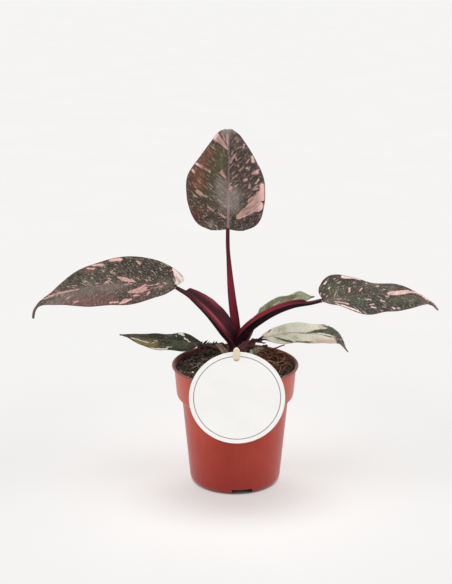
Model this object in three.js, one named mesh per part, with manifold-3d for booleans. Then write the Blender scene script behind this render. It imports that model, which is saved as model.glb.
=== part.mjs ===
// A young variegated philodendron in a plastic nursery pot, with a round label on a wooden stick.
// Millimetres, +Z up. The origin is the middle of the pot's foot, on the surface that it stands on.
// +X is to the right and -Y is the side that the label hangs on.
//
// The plant is one short stem with six leaves. Each leaf is a petiole, with a sheath whose two wings
// fold up into a channel, and a blade, which is a thin sheet carried on its midrib.

import * as THREE from "three";
import { mergeVertices } from "three/addons/utils/BufferGeometryUtils.js";
import Module from "manifold-3d";

const wasm = await Module();
wasm.setup();

// ---------------------------------------------------------------- driving dimensions

const GAP = 0.3; // clearance between pieces that touch
const POT_HEIGHT = 116;
const POT_RADIUS = 60; // outside of the lip
const POT_WALL = 1.1;
const POT_SEGMENTS = 40;
const FLOOR_THICKNESS = 1.6;
const COLLAR_BOTTOM = 84; // where the collar steps in to the body

const NOTCH = { width: 20, height: 3.6, inner: 25, count: 3, firstAngle: -81 };
const DRAIN_RADIUS = 3.6;
const DRAIN_AT = 33; // distance of each drain hole from the axis

const SOIL_EDGE = 112; // height of the soil at the wall
const SOIL_MOUND = 7; // how much higher it is round the stem
const SOIL_LUMP = 1.3;
const SOIL_RINGS = 8;

const STEM_FOOT = 72; // bottom of the buried stem
const STEM_TOP = 133;
const STEM_LEAN = [0.5, 1, 3.5, 2.5]; // x, y at the foot and x, y at the top
const STEM_RADIUS = 5;
const STEM_SCARS = 6; // rings left by fallen leaves

const LEAF_THICKNESS = 0.8;
const RIB_DEPTH = 1.1; // how far the midrib stands out of the underside at the base
const RIB_HALF_WIDTH = 1.9;

const LABEL = { radius: 43.5, thickness: 0.8, centre: [1.3, -61.1, 103.9], leanBack: 2 };
const SLOT = { width: 6.8, height: 7.2, corner: 2.8, aside: -0.6, belowTop: 5.2 };
const STICK = { width: 6, thickness: 1.4, length: 112, shoulder: 7, tilt: 30, above: 12.7 };
const TWIG = { route: [[14, 23, 112.6], [30, 33, 115.3], [48.6, 45, 119.2]], radius: 0.9, steps: 8 };

const COLOURS = {
  pot: 0xb04a35,
  soil: 0x2b1f18,
  stem: 0x3a1320,
  petiole: 0x4d1522,
  bladeDark: 0x3b3a2c,
  bladeGreen: 0x5b6b42,
  bladePale: 0xb9b796,
  sheath: 0x5a2a24,
  twig: 0x6e5542,
  label: 0xf4f3f0,
  stick: 0xe3cfae,
};

// ---------------------------------------------------------------- small tools

const vec = (p) => new THREE.Vector3(...p);
const radians = THREE.MathUtils.degToRad;
const range = (n) => Array.from({ length: n }, (_, i) => i);

// A smooth line through [x, y] points, read at x: cubic pieces with the slopes of their neighbours.
function smooth(points, x) {
  const last = points.length - 1;
  if (x <= points[0][0]) return points[0][1];
  if (x >= points[last][0]) return points[last][1];
  const i = points.findIndex((p) => p[0] > x) - 1;
  const slope = (k) => {
    const a = points[Math.max(k - 1, 0)];
    const b = points[Math.min(k + 1, last)];
    return (b[1] - a[1]) / (b[0] - a[0]);
  };
  const [[x0, y0], [x1, y1]] = [points[i], points[i + 1]];
  const w = x1 - x0;
  const u = (x - x0) / w;
  const rise = y0 * (1 + 2 * u) * (1 - u) ** 2 + y1 * u * u * (3 - 2 * u);
  return rise + w * (slope(i) * u * (1 - u) ** 2 - slope(i + 1) * u * u * (1 - u));
}

// Repeatable lumps: a sum of a few waves, from -1 to 1.
function lumps(x, y) {
  const coarse = Math.sin(x * 0.21 + 1.3) * Math.cos(y * 0.26 - 0.7);
  const middle = Math.sin(x * 0.47 - y * 0.33 + 2.1) * Math.cos(y * 0.52 + 0.4);
  const fine = Math.sin(x * 0.83 + y * 0.71);
  return 0.45 * coarse + 0.35 * middle + 0.2 * fine;
}

// A closed geometry as a solid, and a solid as a geometry.
function solidOf(geometry) {
  const bare = geometry.clone();
  bare.deleteAttribute("normal");
  bare.deleteAttribute("uv");
  const merged = mergeVertices(bare, 1e-4);
  const mesh = { numProp: 3, vertProperties: merged.attributes.position.array };
  return new wasm.Manifold(new wasm.Mesh({ ...mesh, triVerts: new Uint32Array(merged.index.array) }));
}

function geometryOf(solid) {
  const mesh = solid.getMesh();
  const geometry = new THREE.BufferGeometry();
  geometry.setAttribute("position", new THREE.BufferAttribute(mesh.vertProperties, 3));
  geometry.setIndex(new THREE.BufferAttribute(mesh.triVerts, 1));
  geometry.computeVertexNormals();
  return geometry;
}

// What is left of a solid once the others are taken out of it, without the scraps cut loose.
function without(solid, ...others) {
  const left = others.reduce((a, b) => a.subtract(b), solid);
  const bodies = left.decompose();
  return bodies.reduce((a, b) => (b.volume() > a.volume() ? b : a));
}

// A closed geometry from rings of points that all hold the same number, from first to last.
function loft(rings) {
  const sides = rings[0].length;
  const points = rings.flat();
  const faces = [];
  for (let r = 0; r < rings.length - 1; r++) {
    for (let i = 0; i < sides; i++) {
      const a = r * sides + i;
      const b = r * sides + ((i + 1) % sides);
      faces.push(a, b, b + sides, a, b + sides, a + sides);
    }
  }
  const middleOf = (ring) => {
    const sum = ring.reduce((a, p) => a.add(p), new THREE.Vector3());
    return sum.divideScalar(ring.length);
  };
  const foot = points.push(middleOf(rings[0])) - 1;
  const head = points.push(middleOf(rings.at(-1))) - 1;
  const top = (rings.length - 1) * sides;
  for (let i = 0; i < sides; i++) {
    const next = (i + 1) % sides;
    faces.push(foot, next, i, head, top + i, top + next);
  }
  const geometry = new THREE.BufferGeometry().setFromPoints(points);
  geometry.setIndex(faces);
  return geometry;
}

// Moves a clockwise outline outwards by a distance, corner by corner.
function grown(outline, by) {
  const n = outline.length;
  return outline.map((p, i) => {
    const before = outline[(i + n - 1) % n];
    const after = outline[(i + 1) % n];
    const out = new THREE.Vector2(before.y - after.y, after.x - before.x).normalize();
    return new THREE.Vector2(p.x + out.x * by, p.y + out.y * by);
  });
}

// A curve with, at each share of its length, its point and its direction, and the ways across it and
// up from it. faces says which way is up at some of the shares.
function track(route, faces) {
  const curve = new THREE.CatmullRomCurve3(route.map(vec), false, "centripetal");
  const face = (axis, t) => smooth(faces.map(([at, way]) => [at, way[axis]]), t);
  return (t) => {
    const along = curve.getTangentAt(t);
    const wanted = new THREE.Vector3(face(0, t), face(1, t), face(2, t));
    const side = along.clone().cross(wanted).normalize();
    return { at: curve.getPointAt(t), along, side, up: side.clone().cross(along) };
  };
}

// ---------------------------------------------------------------- pot

// The outside and the inside of the pot, from the axis out and back, as [radius, height].
const POT_OUTSIDE = [
  [0, 0], [39.5, 0], [42, 1.2], [43.3, 4], [50.2, COLLAR_BOTTOM - 4], [50.9, COLLAR_BOTTOM - 2],
  [54.8, COLLAR_BOTTOM + 1.2], [55.6, COLLAR_BOTTOM + 4], [57.7, POT_HEIGHT - 2.6],
  [59.6, POT_HEIGHT - 2], [POT_RADIUS, POT_HEIGHT - 1.1], [59.6, POT_HEIGHT - 0.2], [58.8, POT_HEIGHT],
];
const POT_INSIDE = [
  [57.4, POT_HEIGHT - 0.3], [56.7, POT_HEIGHT - 2.4], [54.6, COLLAR_BOTTOM + 4.4],
  [53.9, COLLAR_BOTTOM + 2.4], [49.9, COLLAR_BOTTOM - 1], [49.1, COLLAR_BOTTOM - 4.4],
  [42.3, 5], [40.6, FLOOR_THICKNESS + 0.6], [38.6, FLOOR_THICKNESS], [0, FLOOR_THICKNESS],
];

// The inside of the collar as [height, radius], from the body up to the lip.
const COLLAR_INSIDE = POT_INSIDE.slice(0, 6).map(([r, z]) => [z, r]).reverse();

// A profile of [radius, height] pairs turned round the axis. It starts and ends on the axis.
function turned(profile) {
  const points = profile.map(([r, z]) => new THREE.Vector2(r, z));
  return new THREE.LatheGeometry(points, POT_SEGMENTS).rotateX(Math.PI / 2);
}

// One solid at each drainage channel, from the one that lies along +X.
function atEachNotch(geometry) {
  const turns = range(NOTCH.count).map((k) => NOTCH.firstAngle + (360 / NOTCH.count) * k);
  const solids = turns.map((angle) => solidOf(geometry.clone().rotateZ(radians(angle))));
  return solids.reduce((a, b) => a.add(b));
}

// The drainage channels under the floor, made larger all round by a thickness.
function footChannels(thickness) {
  const length = POT_RADIUS - NOTCH.inner;
  const [wide, high] = [NOTCH.width + 2 * thickness, NOTCH.height + thickness];
  const box = new THREE.BoxGeometry(length + 2 * thickness, wide, 2 * high);
  return atEachNotch(box.translate(NOTCH.inner + length / 2, 0, 0));
}

function makePot() {
  const shell = solidOf(turned([...POT_OUTSIDE, ...POT_INSIDE]));
  const full = solidOf(turned([...POT_OUTSIDE, [0, POT_HEIGHT]]));
  const ceilings = full.intersect(footChannels(POT_WALL));
  const hole = new THREE.CylinderGeometry(DRAIN_RADIUS, DRAIN_RADIUS, 30, 16).rotateX(Math.PI / 2);
  return without(shell.add(ceilings), footChannels(0), atEachNotch(hole.translate(DRAIN_AT, 0, 0)));
}

// ---------------------------------------------------------------- soil

// Height of the soil's surface at a distance from the axis, before its lumps.
function soilHeight(r) {
  const share = Math.min(r / COLLAR_INSIDE[0][1], 1);
  return SOIL_EDGE + SOIL_MOUND * Math.cos((share * Math.PI) / 2) ** 2;
}

// The soil fills the pot. Its flat top, given in rings, is then raised to the mound and its lumps.
function makeSoil(standingIn) {
  const wall = POT_INSIDE.slice(2).map(([r, z]) => [Math.max(r - GAP, 0), z + GAP]).reverse();
  const edge = smooth(COLLAR_INSIDE, SOIL_EDGE) - GAP;
  const top = range(SOIL_RINGS + 1).map((k) => [edge * (1 - k / SOIL_RINGS), SOIL_EDGE]);
  const geometry = turned([...wall, ...top]);
  const place = geometry.attributes.position;
  for (let i = 0; i < place.count; i++) {
    const [x, y, z] = [place.getX(i), place.getY(i), place.getZ(i)];
    const r = Math.hypot(x, y);
    const onTop = Math.abs(z - SOIL_EDGE) < 0.01 && r < edge - 0.1;
    if (onTop) place.setZ(i, soilHeight(r) + SOIL_LUMP * lumps(x, y));
  }
  return without(solidOf(geometry), footChannels(POT_WALL + GAP), ...standingIn);
}

// ---------------------------------------------------------------- stem and petioles

// The short stem: rings of a round section that swells at each leaf scar, on a slightly leaning axis.
function makeStem(grow = 0) {
  const [x0, y0, x1, y1] = STEM_LEAN;
  const rings = 16;
  const sides = 14;
  const foot = STEM_FOOT - grow;
  const head = STEM_TOP + grow;
  const ringAt = (k) => {
    const t = k / rings;
    const z = foot + (head - foot) * t;
    const scar = 0.45 * Math.max(0, Math.cos(t * STEM_SCARS * 2 * Math.PI)) ** 3;
    const taper = t < 0.45 ? 0.55 + t : 1;
    const dome = k === rings ? 0.72 : 1;
    const radius = (STEM_RADIUS * taper + scar) * dome + grow;
    return range(sides).map((i) => {
      const a = (i / sides) * 2 * Math.PI;
      const [cx, cy] = [x0 + (x1 - x0) * t, y0 + (y1 - y0) * t];
      return new THREE.Vector3(cx + radius * Math.cos(a), cy + radius * Math.sin(a), z);
    });
  };
  return solidOf(loft(range(rings + 1).map(ringAt)));
}

const WING_ANGLE = 56; // of each wing from the way that the channel opens, in degrees
const WING_RIM = 0.5; // half the thickness of a wing at its rim

// A petiole's section, round its line: a D-shaped body with a groove, and a wing on each side.
// x is to the right and y is the way that the channel opens.
function petioleSection(body, leftWing, rightWing) {
  const groove = body * (1 - 0.4 * Math.min(1, (leftWing + rightWing) / 3));
  const half = (wing) => {
    const rim = THREE.MathUtils.radToDeg(WING_RIM / (body + wing));
    return [
      [24, (groove + 0.2 * body) / 1.2],
      [WING_ANGLE - 12, 0.92 * body],
      [WING_ANGLE - rim, body + wing],
      [WING_ANGLE + rim, body + wing],
      [WING_ANGLE + 14, body],
      [WING_ANGLE + 45, body],
      [WING_ANGLE + 84, body],
    ];
  };
  const left = half(leftWing).map(([a, r]) => [-a, r]).reverse();
  const round = [[0, groove], ...half(rightWing), [180, body], ...left];
  return round.map(([a, r]) => new THREE.Vector2(r * Math.sin(radians(a)), r * Math.cos(radians(a))));
}

// Each petiole: its route from the stem to the blade, the way that its channel opens, and along it the
// radius of its body and how far each wing stands out of that.
const PETIOLES = {
  petiole_right: {
    route: [
      [1.5, 0, 120], [3.3, -0.5, 137.8], [10.5, -1.5, 148.2], [23.6, -2, 158.9], [38.8, -2.6, 168],
      [55.2, -3.2, 174.1], [70.2, -3.6, 176.3], [80.5, -4, 179],
    ],
    opens: [[0, [-0.9, -0.1, 0.4]], [0.35, [-0.6, 0, 0.8]], [1, [-0.1, 0, 1]]],
    body: [[0, 4], [0.3, 3.8], [0.6, 3.1], [0.8, 2.5], [0.87, 1.9], [1, 1.7]],
    left: [[0, 1], [0.2, 3.6], [0.4, 4.6], [0.6, 4.2], [0.8, 3.2], [0.855, 2.2], [0.865, 0], [1, 0]],
    right: [[0, 1], [0.2, 3.6], [0.4, 4.6], [0.6, 3.8], [0.8, 1.4], [0.86, 0], [1, 0]],
    steps: 22,
  },
  petiole_left: {
    route: [
      [-0.5, -1, 120], [-3, -1.5, 136.4], [-11, -2.5, 147.7], [-17.8, -3, 157.1], [-25.6, -3.5, 166.8],
      [-34.5, -4, 176.1], [-43.1, -5, 184.4], [-50.4, -5.5, 189.2], [-55.6, -6, 192.4],
    ],
    opens: [[0, [0.8, -0.3, 0.4]], [0.3, [0.64, -0.42, 0.77]], [1, [0.3, -0.4, 0.8]]],
    body: [[0, 4.2], [0.4, 4], [0.6, 3.4], [0.8, 2.6], [1, 1.7]],
    left: [[0, 2], [0.2, 6], [0.4, 7.5], [0.6, 5.5], [0.8, 2], [0.88, 0], [1, 0]],
    right: [
      [0, 3], [0.2, 8], [0.4, 10], [0.6, 10], [0.76, 8.5], [0.85, 5.5], [0.875, 4], [0.885, 0], [1, 0],
    ],
    steps: 26,
  },
  petiole_top: {
    route: [
      [2, 4.5, 120], [1.4, 8, 140], [-0.4, 7.5, 157], [-2.2, 6.5, 171], [-3.7, 6, 184.8],
      [-6, 6.5, 212.4], [-7, 7.2, 228.7], [-7.1, 8.4, 241.6],
    ],
    opens: [[0, [0.1, -1, 0.05]], [1, [0, -1, 0.1]]],
    body: [[0, 3.6], [0.3, 3], [0.5, 2.5], [0.75, 1.9], [1, 1.8]],
    left: [[0, 1], [0.3, 1.7], [0.5, 1.5], [0.75, 0.5], [0.85, 0], [1, 0]],
    right: [[0, 1], [0.3, 1.7], [0.5, 1.3], [0.75, 0.5], [0.85, 0], [1, 0]],
    steps: 20,
  },
  petiole_back: {
    route: [[3, 3, 118], [9, 5.5, 134], [14, 8, 142.8], [17.5, 13.5, 149.5], [20, 20, 154.2]],
    opens: [[0, [-0.5, -0.5, 0.6]], [1, [-0.2, -0.3, 1]]],
    body: [[0, 3], [0.5, 2.4], [1, 1.5]],
    left: [[0, 1], [0.4, 2], [0.85, 0], [1, 0]],
    right: [[0, 1], [0.4, 2], [0.85, 0], [1, 0]],
    steps: 12,
  },
  petiole_low_left: {
    route: [[1, 3, 116], [-5, 6.5, 121.5], [-12.5, 12, 124.3], [-22, 18, 126], [-34.2, 24.3, 126.5]],
    opens: [[0, [-0.2, 0, 1]], [1, [0, -0.1, 1]]],
    body: [[0, 2.6], [0.5, 2], [1, 1.4]],
    left: [[0, 0.6], [0.5, 1.4], [0.9, 0], [1, 0]],
    right: [[0, 0.6], [0.5, 1.4], [0.9, 0], [1, 0]],
    steps: 12,
  },
  petiole_low_right: {
    route: [[2, 2, 116], [5, 4, 126.5], [12.2, 7, 131.7], [19.8, 11, 134.3], [25, 14, 135.9]],
    opens: [[0, [-0.3, 0, 1]], [1, [0, -0.1, 1]]],
    body: [[0, 2.4], [0.5, 1.8], [1, 1.3]],
    left: [[0, 0.6], [0.5, 1], [0.9, 0], [1, 0]],
    right: [[0, 0.6], [0.5, 1], [0.9, 0], [1, 0]],
    steps: 12,
  },
};

function makePetiole(spec, grow = 0) {
  const frameAt = track(spec.route, spec.opens);
  const rings = range(spec.steps + 1).map((k) => {
    const t = k / spec.steps;
    const { at, side, up } = frameAt(t);
    const wings = [spec.left, spec.right].map((wing) => Math.max(0, smooth(wing, t)));
    const outline = petioleSection(smooth(spec.body, t), ...wings);
    const toSpace = (p) => at.clone().addScaledVector(side, p.x).addScaledVector(up, p.y);
    return grown(outline, grow).map(toSpace);
  });
  return solidOf(loft(rings));
}

// ---------------------------------------------------------------- blades

// The shares of a midrib at which the half widths of a blade are given.
const STATIONS = [0, 0.03, 0.08, 0.15, 0.25, 0.4, 0.55, 0.7, 0.8, 0.9, 1];

// Each blade: its midrib from the petiole to the tip, the way that it faces, how far its halves are
// folded up from flat and how they curl on from there (degrees a millimetre), and its half widths.
// left and right are as seen from above with the tip away. lobes are how far the left and right halves
// of the base sweep back past the petiole.
const BLADES = {
  blade_top: {
    colour: COLOURS.bladeDark,
    midrib: [
      [-7, 8.7, 242], [-6.6, 13, 262], [-6.3, 19, 288], [-6, 27, 312], [-5.8, 38, 327],
      [-5.6, 54, 328], [-5.6, 66, 318],
    ],
    faces: [[0, [0, -1, 0.15]], [1, [0, -0.15, 1]]],
    fold: [[0, 12], [0.4, 6], [1, 8]],
    curl: [-0.25, -0.3],
    left: [11, 21.5, 29.5, 35, 38.5, 36.5, 26, 14, 8, 3.5, 0.5],
    right: [11, 21.5, 28, 31, 33.5, 32, 23.5, 12.5, 7, 3, 0.5],
    lobes: [0.5, 0],
    ripple: { height: 0.8, waves: 3, phase: 0.2 },
    rows: 20,
    columns: 5,
  },
  blade_left: {
    colour: COLOURS.bladeDark,
    midrib: [
      [-56.5, -6, 193.4], [-79, -9, 196], [-102, -12, 197], [-120, -15, 197],
      [-139, -18, 194.6], [-165, -24, 188.6], [-177, -27, 181.6], [-184.5, -30, 170],
    ],
    faces: [[0, [0.1, -0.5, 1]], [0.5, [0.1, -0.5, 1]], [1, [-0.2, -0.5, 1]]],
    fold: [[0, 26], [0.35, 10], [1, 8]],
    curl: [-0.3, -0.3],
    left: [5, 12.5, 21.5, 26, 29, 30.5, 27, 20, 12.5, 3.5, 0.5],
    right: [14, 19.5, 25, 30, 33.5, 32.5, 26.5, 14.5, 8, 2.5, 0.5],
    lobes: [1, 9],
    ripple: { height: 1.0, waves: 3, phase: 0.1 },
    rows: 20,
    columns: 5,
  },
  blade_right: {
    colour: COLOURS.bladeDark,
    midrib: [
      [81.5, -4, 180.2], [100.7, -7, 183.2], [117, -10, 186], [132.4, -12, 187.5],
      [147.8, -14, 187.7], [159.6, -16, 187], [171.3, -18, 184], [186.2, -20, 174.5],
    ],
    faces: [[0, [-0.1, -0.5, 1]], [0.4, [-0.1, -0.35, 1]], [1, [0.2, -0.4, 1]]],
    fold: [[0, 28], [0.3, 2], [0.5, -4], [1, 0]],
    curl: [-0.3, -0.3],
    left: [13, 18.5, 25, 28, 26, 24.5, 20.5, 13.5, 7.5, 3, 0.5],
    right: [4, 7.5, 12.5, 16, 21.5, 26.5, 24.5, 20.5, 14, 4.5, 0.5],
    lobes: [5, 1],
    ripple: { height: 1.0, waves: 3, phase: 0.6 },
    rows: 20,
    columns: 5,
  },
  blade_low_left: {
    colour: COLOURS.bladeGreen,
    midrib: [
      [-34.5, 24.5, 127.2], [-53, 27, 128.6], [-72.5, 30, 129.4], [-90, 33, 130.6], [-111.7, 38, 132.1],
    ],
    faces: [[0, [0, -0.4, 1]], [1, [0, -0.4, 1]]],
    fold: [[0, 8], [0.2, 0], [0.5, -8], [1, -4]],
    curl: [-0.3, -0.3],
    left: [3, 6, 10.5, 13.5, 15, 15, 14, 10, 5, 2, 0.5],
    right: [3, 5, 8.5, 12, 14, 13, 10, 7.5, 5, 2.5, 0.5],
    lobes: [1, 1],
    ripple: { height: 0.6, waves: 3, phase: 0.4 },
    rows: 14,
    columns: 4,
  },
  blade_low_right: {
    colour: COLOURS.bladePale,
    midrib: [
      [26, 14.2, 136.4], [42.8, 17, 139], [56.4, 20, 139.8], [75.5, 23, 137.6],
      [87.4, 25, 134.8], [99.3, 27, 129], [109.1, 28, 116.5],
    ],
    faces: [[0, [0, -0.4, 1]], [1, [0.3, -0.4, 1]]],
    fold: [[0, 14], [0.4, 6], [1, 4]],
    curl: [-0.3, -0.3],
    left: [2, 4, 6.5, 9.5, 12, 13.5, 14.5, 15.5, 11, 4, 0.5],
    right: [3, 5.5, 9.5, 14, 16.5, 15, 14, 11, 6.5, 2, 0.5],
    lobes: [1, 1],
    ripple: { height: 0.6, waves: 3, phase: 0.2 },
    rows: 16,
    columns: 4,
  },
  blade_back: {
    colour: COLOURS.bladeGreen,
    midrib: [
      [20.3, 20.8, 154.8], [31.5, 27, 159.8], [48.1, 36, 164.6], [62.9, 43, 167], [76.6, 48, 167.9],
    ],
    faces: [[0, [-0.2, -0.5, 1]], [1, [0, -0.5, 1]]],
    fold: [[0, 14], [0.4, 6], [1, 4]],
    curl: [-0.3, -0.3],
    left: [4, 5.5, 7, 7.5, 7.5, 10, 12, 9.5, 9.5, 6.5, 0.5],
    right: [4, 5, 6.5, 8, 9, 9, 8.5, 7, 5, 3, 0.5],
    lobes: [1, 1],
    ripple: { height: 1.6, waves: 2.5, phase: 0.4 },
    rows: 14,
    columns: 4,
  },
};

// The old sheaths round the foot of the stem, given as narrow blades that curl into gutters.
const SHEATHS = {
  sheath_right: {
    midrib: [
      [-2.5, -9, 113], [0.6, -10, 129.9], [7.2, -10, 134.9], [13.8, -9.5, 138.3], [20.3, -8.4, 141.4],
      [25, -7, 141.8],
    ],
    faces: [[0, [0, -1, 0.1]], [0.4, [0.2, -1, 0.5]], [1, [0.2, -1, 0.6]]],
    fold: [[0, -8], [1, -4]],
    curl: [-5, -4],
    left: [5, 5, 5, 5, 5, 5, 4.5, 4, 3, 2, 0.8],
    right: [5, 5, 5, 5, 4.5, 4.5, 4, 3.5, 2.5, 1.5, 0.8],
    lobes: [0, 0],
    ripple: { height: 0.5, waves: 4, phase: 0.3 },
    rows: 12,
    columns: 3,
  },
  sheath_green: {
    midrib: [[11, -8, 113], [13.6, -10, 126], [17.5, -11, 130.5], [22, -10.5, 133.2], [26.6, -10, 134.5]],
    faces: [[0, [0.2, -1, 0.1]], [1, [0.1, -0.9, 0.6]]],
    fold: [[0, -6], [1, -2]],
    curl: [-5, -5],
    left: [2, 2, 2, 2.5, 2.5, 2.5, 3, 3, 2.5, 1.5, 0.5],
    right: [2, 2, 2, 2, 2.5, 2.5, 2.5, 2.5, 2, 1.5, 0.5],
    lobes: [0, 0],
    ripple: { height: 0.3, waves: 3, phase: 0 },
    rows: 10,
    columns: 3,
  },
  sheath_left: {
    midrib: [[-6.5, -8, 113], [-7.6, -7, 123], [-10, -4, 128.8], [-13.5, 0, 132], [-18, 4, 134]],
    faces: [[0, [-0.2, -1, 0.1]], [1, [-0.2, -0.9, 0.6]]],
    fold: [[0, -6], [1, -2]],
    curl: [-5, -5],
    left: [3, 3, 3, 3, 3.5, 3.5, 3.5, 3, 2.5, 1.5, 0.5],
    right: [3, 3, 3, 3, 3.5, 3.5, 3, 2.5, 2, 1.5, 0.5],
    lobes: [0, 0],
    ripple: { height: 0.3, waves: 3, phase: 0.5 },
    rows: 10,
    columns: 3,
  },
};

// The middle surface of a blade: at a share t of its midrib, and out along one half by a share q of
// its width there. side is 1 for the right half and -1 for the left.
function bladeSurface(spec) {
  const frameAt = track(spec.midrib, spec.faces);
  const widths = [spec.left, spec.right].map((list) => list.map((width, i) => [STATIONS[i], width]));
  return (t, side, q) => {
    const { at, along, side: across, up } = frameAt(t);
    const h = side > 0 ? 1 : 0;
    const width = smooth(widths[h], t);
    const rib = Math.min(RIB_HALF_WIDTH, 0.4 * width);
    const s = q * width;
    const fold = radians(smooth(spec.fold, t));
    const bend = radians(spec.curl[h]);
    const out = (Math.sin(fold + bend * s) - Math.sin(fold)) / bend;
    const wave = Math.sin(2 * Math.PI * (spec.ripple.waves * t + spec.ripple.phase) + side);
    const lift = (Math.cos(fold) - Math.cos(fold + bend * s)) / bend + spec.ripple.height * wave * q * q;
    const back = spec.lobes[h] * Math.sin(2.2 * q) * Math.max(0, 1 - t / 0.3) ** 2;
    const point = at.addScaledVector(across, side * out).addScaledVector(up, lift);
    return { point: point.addScaledVector(along, -back), rib, s };
  };
}

// A blade as a solid sheet. The same triangles lie on both of its faces.
function makeBlade(spec, grow = 0) {
  const surface = bladeSurface(spec);
  const { rows, columns } = spec;
  const upper = [];
  const lower = [];
  const step = 1e-3;
  for (let r = 0; r <= rows; r++) {
    const t = r / rows;
    for (let c = -columns; c <= columns; c++) {
      const side = c < 0 ? -1 : 1;
      const { s: width, rib } = surface(t, side, 1);
      const k = Math.abs(c);
      const s = k === 0 ? 0 : rib + ((width - rib) * (k - 1)) / (columns - 1);
      const q = s / width + (k === columns ? grow / width : 0);
      const { point } = surface(t, side, q);
      const t0 = Math.max(t - step, 0);
      const t1 = Math.min(t + step, 1);
      const alongBlade = surface(t1, side, q).point.sub(surface(t0, side, q).point);
      const outwards = surface(t, side, q + step).point;
      outwards.sub(surface(t, side, Math.max(q - step, 0)).point).multiplyScalar(side);
      const normal = outwards.cross(alongBlade).normalize();
      const ribDepth = k === 0 ? RIB_DEPTH * (1 - 0.9 * t) : 0;
      const half = LEAF_THICKNESS / 2 + grow;
      upper.push(point.clone().addScaledVector(normal, half));
      lower.push(point.clone().addScaledVector(normal, -half - ribDepth));
    }
  }
  const wide = 2 * columns + 1;
  const under = upper.length;
  const faces = [];
  const quad = (a, b, c, d) => faces.push(a, b, c, a, c, d);
  for (let r = 0; r < rows; r++) {
    for (let c = 0; c < wide - 1; c++) {
      const a = r * wide + c;
      quad(a, a + 1, a + 1 + wide, a + wide);
      const b = a + under;
      faces.push(b, b + 1 + wide, b + 1, b, b + wide, b + 1 + wide);
    }
    const left = r * wide;
    const right = left + wide - 1;
    quad(left, left + wide, left + wide + under, left + under);
    quad(right, right + under, right + wide + under, right + wide);
  }
  for (let c = 0; c < wide - 1; c++) {
    const tip = rows * wide + c;
    quad(c, c + under, c + 1 + under, c + 1);
    quad(tip, tip + 1, tip + 1 + under, tip + under);
  }
  const geometry = new THREE.BufferGeometry().setFromPoints([...upper, ...lower]);
  geometry.setIndex(faces);
  return solidOf(geometry);
}

// ---------------------------------------------------------------- label and its stick

// The middle of the slot in the leaning label, and the stick's rounded top above it.
function slotCentre() {
  const up = LABEL.radius - SLOT.belowTop;
  const lean = radians(LABEL.leanBack);
  const [x, y, z] = LABEL.centre;
  return [x + SLOT.aside, y + up * Math.sin(lean), z + up * Math.cos(lean)];
}

function stickTop() {
  const tilt = radians(STICK.tilt);
  const [x, y, z] = slotCentre();
  return [x, y - STICK.above * Math.sin(tilt), z + STICK.above * Math.cos(tilt)];
}

// A flat wooden stick with a rounded top. It comes through the slot and stands in the soil.
function makeStick(grow = 0) {
  const half = STICK.width / 2 + grow;
  const shape = new THREE.Shape();
  shape.moveTo(-half, -STICK.length - grow);
  shape.lineTo(half, -STICK.length - grow);
  shape.lineTo(half, -STICK.shoulder);
  shape.bezierCurveTo(half, -3, 0.7 * half, grow, 0, grow);
  shape.bezierCurveTo(-0.7 * half, grow, -half, -3, -half, -STICK.shoulder);
  const depth = STICK.thickness + 2 * grow;
  const board = new THREE.ExtrudeGeometry(shape, { depth, bevelEnabled: false, curveSegments: 6 });
  board.translate(0, 0, -depth / 2);
  board.rotateX(Math.PI / 2 + radians(STICK.tilt));
  board.translate(...stickTop());
  return solidOf(board);
}

// The round label, with the slot that the stick comes through.
function makeLabel() {
  const disc = new THREE.Shape().absarc(0, 0, LABEL.radius, 0, 2 * Math.PI);
  const [x, y] = [SLOT.aside, LABEL.radius - SLOT.belowTop];
  const [w, h, r] = [SLOT.width / 2, SLOT.height / 2, SLOT.corner];
  const slot = new THREE.Path();
  slot.moveTo(x - w, y + h);
  slot.lineTo(x + w, y + h);
  slot.lineTo(x + w, y - h + r);
  slot.quadraticCurveTo(x + w, y - h, x + w - r, y - h);
  slot.lineTo(x - w + r, y - h);
  slot.quadraticCurveTo(x - w, y - h, x - w, y - h + r);
  slot.closePath();
  disc.holes.push(slot);
  const settings = { depth: LABEL.thickness, bevelEnabled: false, curveSegments: 24 };
  const plate = new THREE.ExtrudeGeometry(disc, settings);
  plate.translate(0, 0, -LABEL.thickness / 2);
  plate.rotateX(Math.PI / 2 - radians(LABEL.leanBack));
  plate.translate(...LABEL.centre);
  return solidOf(plate);
}

// ---------------------------------------------------------------- the dry twig that lies on the soil

// It lies with one end on the soil and leans over the back of the lip.
function makeTwig(grow = 0) {
  const frameAt = track(TWIG.route, [[0, [0, 0, 1]], [1, [0, 0, 1]]]);
  const rings = range(TWIG.steps + 1).map((k) => {
    const { at, side, up } = frameAt(k / TWIG.steps);
    const radius = TWIG.radius * (1 - (0.3 * k) / TWIG.steps) + grow;
    return range(8).map((i) => {
      const a = (i / 8) * 2 * Math.PI;
      return at.clone().addScaledVector(side, radius * Math.sin(a)).addScaledVector(up, radius * Math.cos(a));
    });
  });
  return solidOf(loft(rings));
}

// ---------------------------------------------------------------- the assembly

const plant = new THREE.Group();
const place = (name, solid, colour, roughness = 0.5) => {
  const material = new THREE.MeshStandardMaterial({ color: colour, roughness, metalness: 0 });
  const mesh = new THREE.Mesh(geometryOf(solid), material);
  mesh.name = name;
  plant.add(mesh);
};

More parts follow.
